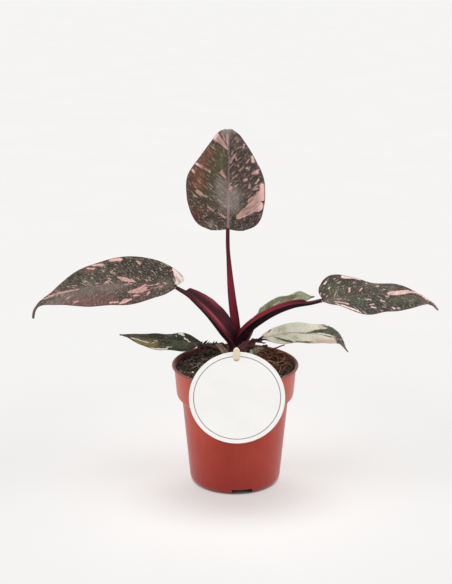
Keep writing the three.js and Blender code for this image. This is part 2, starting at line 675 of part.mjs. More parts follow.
// Each piece makes room, by the gap, for those that were there before it.
const taken = [makeStem(GAP)];
place("stem", makeStem(), COLOURS.stem);
for (const [name, spec] of Object.entries(PETIOLES)) {
  place(name, without(makePetiole(spec), ...taken), COLOURS.petiole, 0.35);
  taken.push(makePetiole(spec, GAP));
}
for (const [name, spec] of Object.entries(BLADES)) {
  place(name, without(makeBlade(spec), ...taken), spec.colour, 0.4);
}
for (const [name, spec] of Object.entries(SHEATHS)) {
  place(name, without(makeBlade(spec), ...taken), COLOURS.sheath, 0.7);
  taken.push(makeBlade(spec, GAP));
}
taken.push(makeStick(GAP), makeTwig(GAP));
place("dry_twig", makeTwig(), COLOURS.twig, 0.9);
place("label_disc", makeLabel(), COLOURS.label);
place("label_stick", makeStick(), COLOURS.stick, 0.8);
place("soil", makeSoil(taken), COLOURS.soil, 0.95);
place("pot", makePot(), COLOURS.pot, 0.55);

export default plant;
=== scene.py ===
# A young variegated philodendron in a plastic nursery pot: the looks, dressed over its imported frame.
# Sizes and routes are in millimetres, and MM turns them into metres. +X is right, -Y is the label's side.

import math
import random
from collections import namedtuple

import bpy
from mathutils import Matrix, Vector, noise

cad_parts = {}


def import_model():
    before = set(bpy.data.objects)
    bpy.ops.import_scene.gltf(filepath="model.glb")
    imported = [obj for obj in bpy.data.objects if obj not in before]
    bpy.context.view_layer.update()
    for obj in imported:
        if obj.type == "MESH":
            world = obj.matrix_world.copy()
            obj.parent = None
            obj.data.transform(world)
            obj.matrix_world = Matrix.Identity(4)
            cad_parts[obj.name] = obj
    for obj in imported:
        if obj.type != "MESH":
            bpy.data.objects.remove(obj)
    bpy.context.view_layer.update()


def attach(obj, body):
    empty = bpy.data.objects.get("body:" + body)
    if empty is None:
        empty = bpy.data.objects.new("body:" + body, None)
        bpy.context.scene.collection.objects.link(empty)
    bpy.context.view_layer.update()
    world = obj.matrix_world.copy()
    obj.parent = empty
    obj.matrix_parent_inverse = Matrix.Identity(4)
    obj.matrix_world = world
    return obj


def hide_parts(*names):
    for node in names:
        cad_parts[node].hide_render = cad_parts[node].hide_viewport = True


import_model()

MM = 0.001
TURN = 2 * math.pi


# ---------------------------------------------------------------- driving sizes

POT_HEIGHT = 116
POT_RADIUS = 60
POT_WALL = 1.1
COLLAR_BOTTOM = 84
FLOOR_THICKNESS = 1.6
# The drainage channels under the floor: their size, where they start and the first one's angle. Each has
# a drain hole, DRAIN_AT from the axis.
NOTCH = {"width": 20, "height": 5, "inner": 25, "count": 3, "first_angle": -81}
DRAIN_RADIUS = 3.6
DRAIN_AT = 33

# The soil: the height of its edge, how far its mound stands over that, and the radius of each.
SOIL_EDGE = 112
SOIL_MOUND = 7
SOIL_RADIUS = 56.25
SOIL_SHOULDER = 49.1
# Each size of lump on the soil: its height, its width and its seed.
SOIL_LUMPS = ((1.5, 13, 2), (1.3, 5, 5), (0.7, 2, 8))
# Between the soil and the pot at the channels.
GAP = 0.3
# How far from the axis the litter lies, and how many points a strand of it has.
CRUMB_REACH = 54.5
STRAND_REACH = 55
STRAND_POINTS = 9

STEM = {"foot": (0.5, 1, 72), "top": (3.5, 2.5, 133), "radius": 5, "scars": 6}

LEAF_THICKNESS = 0.8
RIM_THICKNESS = 0.45
RIB_DEPTH = 1.1
RIB_SPREAD = 1.14
# The relief of a blade's face: its grooves at the midrib and the side veins, the fine ridge in the first
# of them, the turned-down margin and the unevenness.
RIB_GROOVE = 0.55
RIB_RIDGE = 0.3
VEIN_GROOVE = 0.22
MARGIN_TURN = 0.5
UNEVENNESS = 0.35
# The side veins: how far apart they leave the midrib, and how much they lean to the tip at the base and
# from there to the tip.
VEIN_SPACING = 9.5
VEIN_LEAN = (0.55, 0.75)
# The cells of a blade's grid, across and along. A blade with many streaks gets the fine one.
BLADE_CELLS = (56, 110)
FINE_CELLS = (84, 150)
MANY_STREAKS = 20
SHEATH_CELLS = (20, 60)
SCRAP_CELLS = (12, 40)

# A petiole's wings: their angle from the middle of the groove, half the thickness of their rims, and how
# far the petiole's end reaches into its blade.
WING_ANGLE = 56
WING_RIM = 0.35
END_REACH = 1.8

LABEL = {"radius": 43.5, "thickness": 0.8, "centre": (1.3, -61.1, 103.9), "lean": math.radians(2)}
# The printed ring, as a share of the card's radius.
RING_AT = 0.904
# The slot: how far aside it is, and how far its middle is below the card's top. The stick: how long its
# shoulder is, how far it leans back, and how far it stands above the slot.
SLOT = {"half": 3.1, "height": 7.2, "aside": -0.6, "below_top": 5.2}
STICK = {
    "width": 6, "thickness": 1.4, "length": 112, "shoulder": 7, "tilt": math.radians(30), "above": 12.7,
}

TWIG = {"route": [(14, 23, 113.4), (30, 33, 116.2), (48.6, 45, 119.2)], "radius": 0.9}

# The camera: where it stands, what it looks at, and its lens on a 36 mm sensor.
CAMERA_AT = (-8.7, -1152.9, 518.8)
CAMERA_TARGET = (-8.7, 0, 186)
CAMERA_LENS = 79.4

FLOOR_COLOURS = ("989796", "9a9999")
# The floor's emission strength: a painted glow that makes the floor bright and thins the shadows on it.
FLOOR_GLOW = 0.575
WORLD_STRENGTH = 0.52
# Each sun: where its light comes from, how wide it is in degrees, and its strength.
SUNS = {"left": ((-1.5, -0.45, 1.15), 60, 2.3), "right": ((1.5, -0.4, 1.1), 60, 2.2)}


# ---------------------------------------------------------------- small tools

def smooth(points, x):
    """A smooth line through [x, y] points, read at x: cubic pieces with the slopes of their neighbours."""
    last = len(points) - 1
    if x <= points[0][0]:
        return points[0][1]
    if x >= points[last][0]:
        return points[last][1]
    i = next(k for k, p in enumerate(points) if p[0] > x) - 1

    def slope(k):
        a, b = points[max(k - 1, 0)], points[min(k + 1, last)]
        return (b[1] - a[1]) / (b[0] - a[0])

    (x0, y0), (x1, y1) = points[i], points[i + 1]
    w = x1 - x0
    u = (x - x0) / w
    rise = y0 * (1 + 2 * u) * (1 - u) ** 2 + y1 * u * u * (3 - 2 * u)
    return rise + w * (slope(i) * u * (1 - u) ** 2 - slope(i + 1) * u * u * (1 - u))


def step(low, high, x):
    """0 below low, 1 above high, and a smooth rise between them."""
    u = min(max((x - low) / (high - low), 0), 1)
    return u * u * (3 - 2 * u)


def rough(point, size, seed=0):
    """Smooth noise from -1 to 1, with bumps of a size in millimetres."""
    return noise.noise(Vector(point) / size + Vector((seed * 7.3, seed * 3.1, seed * 5.7)))


def circle(u):
    """The cosine and the sine at a share of a full turn."""
    return math.cos(TURN * u), math.sin(TURN * u)


LEVEL = [(0, (0, 0, 1)), (1, (0, 0, 1))]


class Track:
    """A smooth line through points, read at a share of its length. faces says which way is up at shares."""

    SAMPLES = 300

    def __init__(self, route, faces=LEVEL):
        points = [Vector(p) for p in route]
        self.points = [points[0] * 2 - points[1], *points, points[-1] * 2 - points[-2]]
        self.faces = faces
        self.line = [self.on((len(points) - 1) * k / self.SAMPLES) for k in range(self.SAMPLES + 1)]
        self.lengths = [0.0]
        for a, b in zip(self.line, self.line[1:]):
            self.lengths.append(self.lengths[-1] + (b - a).length)
        self.length = self.lengths[-1]

    def on(self, p):
        """The point at a place counted in given points: a centripetal Catmull-Rom curve."""
        i = min(int(p), len(self.points) - 4)
        u = p - i
        a, b, c, d = self.points[i:i + 4]
        ab, bc, cd = ((q - p).length ** 0.5 for p, q in ((a, b), (b, c), (c, d)))
        start = ((b - a) / ab - (c - a) / (ab + bc) + (c - b) / bc) * bc
        end = ((c - b) / bc - (d - b) / (bc + cd) + (d - c) / cd) * bc
        turn = (b - c) * -3 - start * 2 - end
        return b + start * u + turn * u ** 2 + ((b - c) * 2 + start + end) * u ** 3

    def at(self, share):
        """The point at a share of the length."""
        wanted = min(max(share, 0), 1) * self.length
        k = next((k for k, far in enumerate(self.lengths) if far > wanted), self.SAMPLES) - 1
        u = (wanted - self.lengths[k]) / (self.lengths[k + 1] - self.lengths[k])
        return self.line[k].lerp(self.line[k + 1], u)

    def frame(self, share):
        """The point, and the ways along, across and up, at a share of the length."""
        along = (self.at(share + 0.004) - self.at(share - 0.004)).normalized()
        wanted = Vector([smooth([(s, way[axis]) for s, way in self.faces], share) for axis in range(3)])
        across = along.cross(wanted).normalized()
        return self.at(share), along, across, across.cross(along)


def only(*pieces):
    """Selects some objects and nothing else."""
    bpy.ops.object.select_all(action="DESELECT")
    for piece in pieces:
        piece.select_set(True)
    bpy.context.view_layer.objects.active = pieces[0]


def add(primitive, name, **settings):
    """Adds a primitive with nothing else selected, and names it."""
    bpy.ops.object.select_all(action="DESELECT")
    getattr(bpy.ops.mesh, f"primitive_{primitive}_add")(**settings)
    piece = bpy.context.object
    piece.name = piece.data.name = name
    return piece


def placed(name, data):
    """A new object in the scene."""
    made = bpy.data.objects.new(name, data)
    bpy.context.scene.collection.objects.link(made)
    return made


def change(piece, kind, **settings):
    """Puts a modifier on a piece and applies it."""
    only(piece)
    modifier = piece.modifiers.new(kind.title(), kind)
    for key, value in settings.items():
        setattr(modifier, key, value)
    bpy.ops.object.modifier_apply(modifier=modifier.name)


def combine(piece, operation, *others):
    """Joins other solids to a piece, or cuts them from it, and removes them."""
    for other in others:
        change(piece, "BOOLEAN", operation=operation, object=other, solver="EXACT")
        bpy.data.objects.remove(other)


ALL = ("select_all", {"action": "SELECT"})
WELDED = ("remove_doubles", {"threshold": 1e-6})
OUTWARD = ("normals_make_consistent", {"inside": False})


def edit(piece, *steps):
    """Runs edit mode operators on the whole of a mesh. Each step is a name and its settings."""
    only(piece)
    bpy.ops.object.mode_set(mode="EDIT")
    bpy.ops.mesh.select_mode(type="VERT")
    for name, settings in (ALL, *steps):
        getattr(bpy.ops.mesh, name)(**settings)
    bpy.ops.object.mode_set(mode="OBJECT")


def put_down(piece):
    """Leaves a piece at the origin, unturned and unscaled, with its place in its mesh."""
    only(piece)
    bpy.ops.object.transform_apply(location=True, rotation=True, scale=True)


def write(piece, name, values):
    """Keeps a number for each vertex of a mesh, under a name that materials can read."""
    piece.data.attributes.new(name, "FLOAT", "POINT").data.foreach_set("value", values)


def shaped(name, columns, rows, row_at):
    """A grid placed by rows: row_at(v) gives a function from u to a point. Also each vertex's u and v."""
    piece = add("grid", name, x_subdivisions=columns, y_subdivisions=rows, size=2)
    places = [((p.co.x + 1) / 2, round((p.co.y + 1) / 2, 6)) for p in piece.data.vertices]
    at = {v: row_at(v) for v in {v for u, v in places}}
    for vertex, (u, v) in zip(piece.data.vertices, places):
        vertex.co = Vector(at[v](u)) * MM
    return piece, places


def tube(name, sides, rings, row_at, **facts):
    """A shaped grid whose first and last columns meet, with closed ends. facts are functions of (u, v),
    kept at each vertex."""
    piece, places = shaped(name, sides, rings, row_at)
    for fact, value in facts.items():
        write(piece, fact, [value(u, v) for u, v in places])
    ends = (("select_all", {"action": "DESELECT"}), ("select_non_manifold", {}), ("fill_holes", {"sides": 0}))
    edit(piece, WELDED, *ends, ALL, OUTWARD)
    return piece


def worn(piece, material, slot, *nodes, soft=60):
    """Shades a finished piece smooth up to an angle, and gives it its material, its body and the nodes that
    it stands for. slot is not used."""
    if soft:
        only(piece)
        bpy.ops.object.shade_smooth_by_angle(angle=math.radians(soft))
    piece.data.materials.clear()
    piece.data.materials.append(material)
    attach(piece, "root")
    if nodes:
        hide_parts(*nodes)


# ---------------------------------------------------------------- shader tools

def sum_of(operation, swapped=False):
    """A method that does one sum with a socket, and with another socket or a number if it needs one."""

    def method(self, *others):
        terms = (*others, self) if swapped else (self, *others)
        return self.sheet.node("Math", {"operation": operation}, *terms)

    return method


class Value:
    """A socket of a shader, which sums can be done with."""

    def __init__(self, sheet, socket):
        self.sheet, self.socket = sheet, socket

    __add__ = __radd__ = sum_of("ADD")
    __mul__ = __rmul__ = sum_of("MULTIPLY")
    __sub__, __rsub__ = sum_of("SUBTRACT"), sum_of("SUBTRACT", swapped=True)
    __truediv__, __pow__ = sum_of("DIVIDE"), sum_of("POWER")
    lower, higher = sum_of("MINIMUM"), sum_of("MAXIMUM")
    size, fraction = sum_of("ABSOLUTE"), sum_of("FRACT")

    def rise(self, low, high):
        """0 below low, 1 above high, and smooth between. With low above high it falls instead."""
        settings = {"interpolation_type": "SMOOTHSTEP"}
        return self.sheet.node("MapRange", settings, self, low, high, 0.0, 1.0)


class Material:
    """A material with one principled shader, whose sockets are set by name."""

    def __init__(self, name, **settings):
        self.data = bpy.data.materials.new(name)
        self.data.use_nodes = True
        self.nodes = self.data.node_tree.nodes
        self.shader = self.nodes["Principled BSDF"]
        for key, value in settings.items():
            self.set(key.replace("_", " "), value)

    def set(self, socket, value):
        self.fill(self.shader.inputs[socket], value)

    def fill(self, socket, value):
        if isinstance(value, Value):
            self.data.node_tree.links.new(value.socket, socket)
        else:
            socket.default_value = (*linear(value), 1) if isinstance(value, str) else value

    def node(self, kind, settings, *values, out=0, **named):
        """A node of a kind, with its settings, then its sockets in order or by name."""
        made = self.nodes.new("ShaderNode" + kind)
        for key, value in settings.items():
            setattr(made, key, value)
        for socket, value in [*zip(made.inputs, values), *((made.inputs[key], named[key]) for key in named)]:
            self.fill(socket, value)
        return Value(self, made.outputs[out])

    def place(self):
        """Object coordinates, in millimetres."""
        here = self.node("TexCoord", {}, out="Object")
        return self.node("VectorMath", {"operation": "SCALE"}, here, Scale=1 / MM)

    def axes(self, vector):
        """The three parts of a vector."""
        split = self.node("SeparateXYZ", {}, vector)
        return [Value(self, socket) for socket in split.socket.node.outputs]

    def facts(self, *names):
        """Numbers kept at each vertex."""
        return [self.node("Attribute", {"attribute_name": name}, out="Fac") for name in names]

    def vector(self, x, y, z=0.0):
        return self.node("CombineXYZ", {}, x, y, z)

    def noise(self, where, size, detail=2.0, roughness=0.5, distortion=0.0):
        """Cloudy noise round 0.5, with a size in the units of where."""
        named = {"Scale": 1 / size, "Detail": detail, "Roughness": roughness, "Distortion": distortion}
        return self.node("TexNoise", {}, Vector=where, out="Fac", **named)

    def cells(self, where, size):
        """Distance to the nearest of scattered points."""
        return self.node("TexVoronoi", {}, Vector=where, Scale=1 / size, out="Distance")

    def over(self, colour, *layers):
        """A colour with others laid over it in turn, each by a share."""
        for share, layer in layers:
            made = self.nodes.new("ShaderNodeMix")
            made.data_type = "RGBA"
            for socket, value in ((0, share), (6, colour), (7, layer)):
                self.fill(made.inputs[socket], value)
            colour = Value(self, made.outputs[2])
        return colour

    def done(self, colour, roughness, height, distance, strength):
        """Sets the colour, the roughness, and a relief whose height is over a distance in millimetres."""
        relief = self.node("Bump", {}, Strength=strength, Distance=distance * MM, Height=height)
        for socket, value in (("Base Color", colour), ("Roughness", roughness), ("Normal", relief)):
            self.set(socket, value)
        return self.data


def linear(colour):
    """The linear parts of a colour written as six hex digits."""
    parts = [int(colour[k:k + 2], 16) / 255 for k in (0, 2, 4)]
    return [p / 12.92 if p <= 0.04045 else ((p + 0.055) / 1.055) ** 2.4 for p in parts]


# ---------------------------------------------------------------- leaves: routes and sizes

# The shares of a midrib at which the half widths of a blade are given.
STATIONS = [0, 0.03, 0.08, 0.15, 0.25, 0.4, 0.55, 0.7, 0.8, 0.9, 0.95, 1]

# A blade: its midrib from the petiole to the tip, the way that it faces, how far its halves are folded
# up and how they curl on from there (degrees a millimetre), and its half widths. left and right are as
# seen from above with the tip away. ripple is a height, a count of waves and where they start, lobes
# are how far the halves of the base sweep back, and ragged is how uneven the margin is.
Form = namedtuple("Form", "midrib faces fold curl ripple left right lobes ragged", defaults=[(0, 0), 0])

BLADES = {
    "blade_top": Form(
        midrib=[
            (-7, 8.9, 244), (-6.6, 13, 262), (-6.3, 19, 288), (-6, 27, 312.6), (-5.8, 38, 328),
            (-5.6, 54, 329.4), (-5.6, 66, 319.5),
        ],
        faces=[(0, (0, -1, 0.15)), (1, (0, -0.15, 1))], fold=[(0, 12), (0.4, 6), (1, 8)],
        curl=(-0.25, -0.3), lobes=(1.4, 1.2), ripple=(0.8, 3, 0.2),
        left=[16, 26, 32, 36, 38.8, 38, 26.4, 13.4, 5.2, 2.2, 1, 0.2],
        right=[14, 24.5, 30, 32.5, 34, 32, 22.8, 11.2, 4.8, 2.2, 1, 0.2],
    ),
    "blade_left": Form(
        midrib=[
            (-56.5, -6, 193.4), (-79, -9, 196), (-102, -12, 197), (-120, -15, 197), (-139, -18, 194.6),
            (-165, -24, 188.6), (-178.8, -27, 182.6), (-182.8, -28.5, 177.4), (-184.2, -30, 169.6),
        ],
        faces=[(0, (0.1, -0.5, 1)), (0.5, (0.1, -0.5, 1)), (1, (-0.2, -0.5, 1))],
        fold=[(0, 26), (0.35, 10), (1, 8)], curl=(-0.3, -0.3), lobes=(1, 9), ripple=(1, 3, 0.1),
        left=[5, 12.5, 21.5, 26, 29, 30.5, 27, 20, 12.5, 2.2, 0.45, 0.1],
        right=[9.5, 15.5, 22.5, 29.5, 33.5, 32.5, 27, 14.4, 7.4, 2.3, 0.45, 0.1],
    ),
    "blade_right": Form(
        midrib=[
            (81.5, -4, 180.2), (100.7, -7, 183.2), (117, -10, 186), (132.4, -12, 187.5),
            (147.8, -14, 187.9), (159.6, -16, 187.4), (171.3, -18, 185), (179.4, -19, 181),
            (186.2, -20, 174.5),
        ],
        faces=[(0, (-0.1, -0.5, 1)), (0.4, (-0.1, -0.35, 1)), (1, (0.2, -0.4, 1))],
        fold=[(0, 28), (0.3, 2), (0.5, -4), (1, 0)], curl=(-0.3, -0.3), lobes=(3.8, 1), ripple=(1, 3, 0.6),
        left=[11, 19.5, 26.5, 29, 26.5, 24.5, 20.5, 14.5, 8.6, 1.6, 0.5, 0.1],
        right=[4, 7.5, 12.5, 16, 21.5, 26.5, 23.5, 19, 14, 3, 0.5, 0.1],
    ),
    "blade_low_left": Form(
        midrib=[
            (-34.5, 24.5, 127.2), (-53, 27, 128.6), (-72.5, 30, 129.4), (-90, 33, 130.6),
            (-111.7, 38, 132.1),
        ],
        faces=[(0, (0, -0.4, 1)), (1, (0, -0.4, 1))], fold=[(0, 8), (0.2, 0), (0.5, -8), (1, -4)],
        curl=(-0.3, -0.3), lobes=(1, 1), ripple=(0.6, 3, 0.4),
        left=[3, 6, 10, 12.5, 13, 12.5, 12, 9.5, 5.8, 1.6, 0.7, 0.15],
        right=[3, 5, 8.5, 12, 14, 13, 10.4, 8.2, 5.6, 2, 0.8, 0.15],
    ),
    "blade_low_right": Form(
        midrib=[
            (26, 14.2, 136.4), (42.8, 17, 139), (56.4, 20, 139.8), (75.5, 23, 137.6), (87.4, 25, 135.2),
            (99.6, 27, 130.6), (109.3, 28, 118),
        ],
        faces=[(0, (0, -0.4, 1)), (1, (0.3, -0.4, 1))], fold=[(0, 14), (0.4, 6), (1, 4)], curl=(-0.3, -0.3),
        lobes=(1, 1), ripple=(0.6, 3, 0.2),
        left=[2, 4, 6.5, 9.5, 12, 13.5, 14.5, 15.5, 11.5, 4.5, 1.8, 0.3],
        right=[3, 5.5, 9.5, 14, 16.5, 15, 14, 11, 6.5, 2, 1.3, 0.5],
    ),
    "blade_back": Form(
        midrib=[
            (20.3, 20.8, 154.8), (31.5, 27, 159.8), (48.1, 36, 164.6), (62.9, 43, 167), (76.6, 48, 167.9),
        ],
        faces=[(0, (-0.2, -0.5, 1)), (1, (0, -0.5, 1))], fold=[(0, 14), (0.4, 6), (1, 4)],
        curl=(-0.3, -0.3), lobes=(1, 1), ripple=(1.6, 2.5, 0.4),
        left=[0.6, 1, 3.2, 7.8, 9.2, 8.4, 10.8, 8.4, 8.6, 5.5, 3, 0.4],
        right=[0.8, 1.6, 3, 5.5, 8, 9, 8.5, 7, 5, 2.5, 1.4, 0.4],
    ),
}

# The old sheaths round the foot of the stem, given as narrow blades that curl into gutters.
SHEATHS = {
    "sheath_right": Form(
        midrib=[
            (-2.5, -9, 113), (0.6, -10, 129.9), (7.2, -10, 134.9), (13.8, -9.5, 138.3), (20.3, -8.4, 141.4),
            (25, -7, 141.8),
        ],
        faces=[(0, (0, -1, 0.1)), (0.4, (0.2, -1, 0.5)), (1, (0.2, -1, 0.6))], fold=[(0, -8), (1, -4)],
        curl=(-5, -4), ripple=(0.9, 5, 0.3), ragged=0.6,
        left=[5, 5, 5, 5, 5, 5, 4.5, 4, 3, 2, 1.5, 0.8],
        right=[5, 5, 5, 5, 4.5, 4.5, 4, 3.5, 2.5, 1.5, 1.2, 0.8],
    ),
    "sheath_green": Form(
        midrib=[
            (11, -8, 113), (13.6, -10, 126), (17.5, -11, 130.5), (22, -10.5, 133.2), (26.6, -10, 134.5),
        ],
        faces=[(0, (0.2, -1, 0.1)), (1, (0.1, -0.9, 0.6))], fold=[(0, -6), (1, -2)], curl=(-5, -5),
        ripple=(0.3, 3, 0),
        left=[2, 2, 2, 2.5, 2.5, 2.5, 3, 3, 2.5, 1.5, 1.1, 0.5],
        right=[2, 2, 2, 2, 2.5, 2.5, 2.5, 2.5, 2, 1.5, 1.1, 0.5],
    ),
    "sheath_left": Form(
        midrib=[(-6.5, -8, 113), (-7.6, -7, 123), (-10, -4, 128.8), (-13.5, 0, 132), (-18, 4, 134)],
        faces=[(0, (-0.2, -1, 0.1)), (1, (-0.2, -0.9, 0.6))], fold=[(0, -6), (1, -2)], curl=(-5, -5),
        ripple=(0.3, 3, 0.5),
        left=[3, 3, 3, 3, 3.5, 3.5, 3.5, 3, 2.5, 1.5, 1.1, 0.5],
        right=[3, 3, 3, 3, 3.5, 3.5, 3, 2.5, 2, 1.5, 1.1, 0.5],
    ),
}

# Dead bits at the crown: each a narrow blade, as the sheaths are.
SCRAPS = {
    "dead_strip": Form(
        midrib=[(-36, 43, 118.4), (-28, 36, 119.6), (-20, 28, 120.4), (-11, 19, 120.6), (-6, 12, 119)],
        faces=[(0, (0, -0.3, 1)), (1, (0.3, -0.4, 1))], fold=[(0, 20), (1, 30)], curl=(6, 8),
        ripple=(0.6, 5, 0.2), ragged=0.6,
        left=[0.5, 1, 1.6, 2, 2.2, 2.4, 2.4, 2.2, 2, 1.6, 1.2, 0.8],
        right=[0.5, 1, 1.6, 2, 2.4, 2.6, 2.6, 2.4, 2, 1.6, 1.2, 0.8],
    ),
    "dead_leaf": Form(
        midrib=[(-34, 41, 117), (-26, 39, 121), (-17, 34, 123.5), (-9, 27, 124), (-4, 18, 121)],
        faces=[(0, (-0.2, -0.6, 1)), (1, (0, -0.6, 1))], fold=[(0, -10), (1, -16)], curl=(-5, -6),
        ripple=(1.1, 7, 0.6), ragged=0.8,
        left=[0.6, 1.6, 2.4, 3, 3.4, 3.6, 3.4, 3, 2.4, 1.6, 1.2, 0.8],
        right=[0.6, 1.6, 2.4, 3, 3.4, 3.6, 3.4, 3, 2.4, 1.6, 1.2, 0.8],
    ),
    "curled_bit": Form(
        midrib=[(22, -9, 132), (25.5, -8.6, 134.8), (28.6, -8.4, 135.8), (30.6, -8.6, 134.6)],
        faces=[(0, (0, -1, 0.4)), (1, (0.2, -1, 0.6))], fold=[(0, 20), (1, 40)], curl=(8, 8),
        ripple=(0.3, 4, 0.1),
        left=[0.8, 1, 1.1, 1.2, 1.2, 1.2, 1.1, 1, 0.8, 0.6, 0.5, 0.3],
        right=[0.8, 1, 1.1, 1.2, 1.2, 1.2, 1.1, 1, 0.8, 0.6, 0.5, 0.3],
    ),
}

# A petiole: its route, the way that its channel opens, the radius of its body, and how far each wing of
# its sheath stands out of that.
Petiole = namedtuple("Petiole", "route opens body left right")

PETIOLES = {
    "petiole_right": Petiole(
        route=[
            (1.5, 0, 120), (3.3, -0.5, 137.8), (10.5, -1.5, 148.2), (23.6, -2, 158.9), (38.8, -2.6, 168),
            (55.2, -3.2, 174.1), (70.2, -3.6, 176.3), (80.5, -4, 179),
        ],
        opens=[(0, (-0.9, -0.1, 0.4)), (0.35, (-0.6, 0, 0.8)), (1, (-0.1, 0, 1))],
        body=[(0, 4), (0.3, 3.8), (0.6, 3.1), (0.8, 2.5), (0.87, 2.1), (1, 1.8)],
        left=[(0, 1), (0.2, 3.6), (0.4, 4.6), (0.6, 4.2), (0.8, 3.2), (0.855, 2.2), (0.865, 0), (1, 0)],
        right=[(0, 1), (0.2, 3.6), (0.4, 4.6), (0.6, 3.8), (0.8, 1.4), (0.86, 0), (1, 0)],
    ),
    "petiole_left": Petiole(
        route=[
            (-0.5, -1, 120), (-3, -1.5, 136.4), (-11, -2.5, 147.7), (-17.8, -3, 157.1),
            (-25.6, -3.5, 166.8), (-34.5, -4, 176.1), (-43.1, -5, 184.4), (-50.4, -5.5, 189.2),
            (-55.6, -6, 192.4),
        ],
        opens=[(0, (0.8, -0.3, 0.4)), (0.3, (0.64, -0.42, 0.77)), (1, (0.3, -0.4, 0.8))],
        body=[(0, 4.2), (0.4, 4), (0.6, 3.4), (0.8, 2.6), (1, 1.7)],
        left=[(0, 2), (0.2, 6), (0.4, 7.5), (0.6, 5.5), (0.8, 2), (0.88, 0), (1, 0)],
        right=[
            (0, 3), (0.2, 8.2), (0.4, 10.2), (0.6, 10), (0.76, 7.4), (0.85, 4.6), (0.875, 3.8), (0.885, 0),
            (1, 0),
        ],
    ),
    "petiole_top": Petiole(
        route=[
            (2, 4.5, 120), (1.4, 8, 140), (-0.4, 7.5, 157), (-2.2, 6.5, 171), (-3.7, 6, 184.8),
            (-6, 6.5, 212.4), (-7, 7.2, 228.7), (-7.1, 8.5, 243.4),
        ],
        opens=[(0, (0.1, -1, 0.05)), (1, (0, -1, 0.1))],
        body=[(0, 3.6), (0.3, 3.2), (0.5, 2.8), (0.75, 2), (1, 1.8)],
        left=[(0, 1), (0.3, 1.7), (0.5, 1.5), (0.75, 0.5), (0.85, 0), (1, 0)],
        right=[(0, 1), (0.3, 1.7), (0.5, 1.3), (0.75, 0.5), (0.85, 0), (1, 0)],
    ),
    "petiole_back": Petiole(
        route=[(3, 3, 118), (9, 5.5, 134), (14, 8, 142.8), (17.5, 13.5, 149.5), (20, 20, 154.2)],
        opens=[(0, (-0.5, -0.5, 0.6)), (1, (-0.2, -0.3, 1))], body=[(0, 3), (0.5, 2.4), (1, 1.5)],
        left=[(0, 1), (0.4, 2), (0.85, 0), (1, 0)], right=[(0, 1), (0.4, 2), (0.85, 0), (1, 0)],
    ),
    "petiole_low_left": Petiole(
        route=[(1, 3, 116), (-5, 6.5, 121.5), (-12.5, 12, 124.3), (-22, 18, 126), (-34.2, 24.3, 126.5)],
        opens=[(0, (-0.2, 0, 1)), (1, (0, -0.1, 1))], body=[(0, 2.6), (0.5, 2), (1, 1.4)],
        left=[(0, 0.6), (0.5, 1.4), (0.9, 0), (1, 0)], right=[(0, 0.6), (0.5, 1.4), (0.9, 0), (1, 0)],
    ),
    "petiole_low_right": Petiole(
        route=[(2, 2, 116), (5, 4, 126.5), (12.2, 7, 131.7), (19.8, 11, 134.3), (25, 14, 135.9)],
        opens=[(0, (-0.3, 0, 1)), (1, (0, -0.1, 1))], body=[(0, 2.4), (0.5, 1.8), (1, 1.3)],
        left=[(0, 0.6), (0.5, 1), (0.9, 0), (1, 0)], right=[(0, 0.6), (0.5, 1), (0.9, 0), (1, 0)],
    ),
}

# Two thin green stalks that stand up between the stem and the label, and the ragged ends of the red
# sheath.
GREEN_STALKS = [
    [(12.6, -14, 115), (13.2, -14.2, 122), (13.9, -14.4, 128), (14.6, -14.4, 134)],
    [(17.2, -13.6, 115), (16.8, -13.8, 122), (16, -14, 128.5), (14.9, -14.3, 134.5)],
]

RAGGED_ENDS = [
    [(19, -8.6, 141), (22.5, -8, 143), (25, -7.6, 144.6), (26.4, -7.4, 145.6)],
    [(21, -8.4, 140.6), (25, -7.8, 141.6), (28, -7.4, 142), (30, -7, 141.4)],
    [(20, -8.6, 139.6), (24, -8.4, 139.4), (27, -8.2, 138.6), (28.6, -8, 138.9)],
    [(12, -10, 138), (15, -9.6, 140.4), (18, -9.4, 142.2), (20.4, -9.2, 143.4)],
]


# ---------------------------------------------------------------- leaves: markings

# The marks on a blade, in millimetres across it, below 0 on the left, and along it. A streak is where it
# starts and half its width there, and where it ends and half its width there. warm, cool and dull are
# soft clouds of colour: the middle and the radius of each. The third kind is a painted grey sheen on the
# dark blades, and a green-grey tone of the leaf on the pale blade_low_right.
Marks = namedtuple("Marks", "streaks warm cool dull", defaults=[(), (), (), ()])

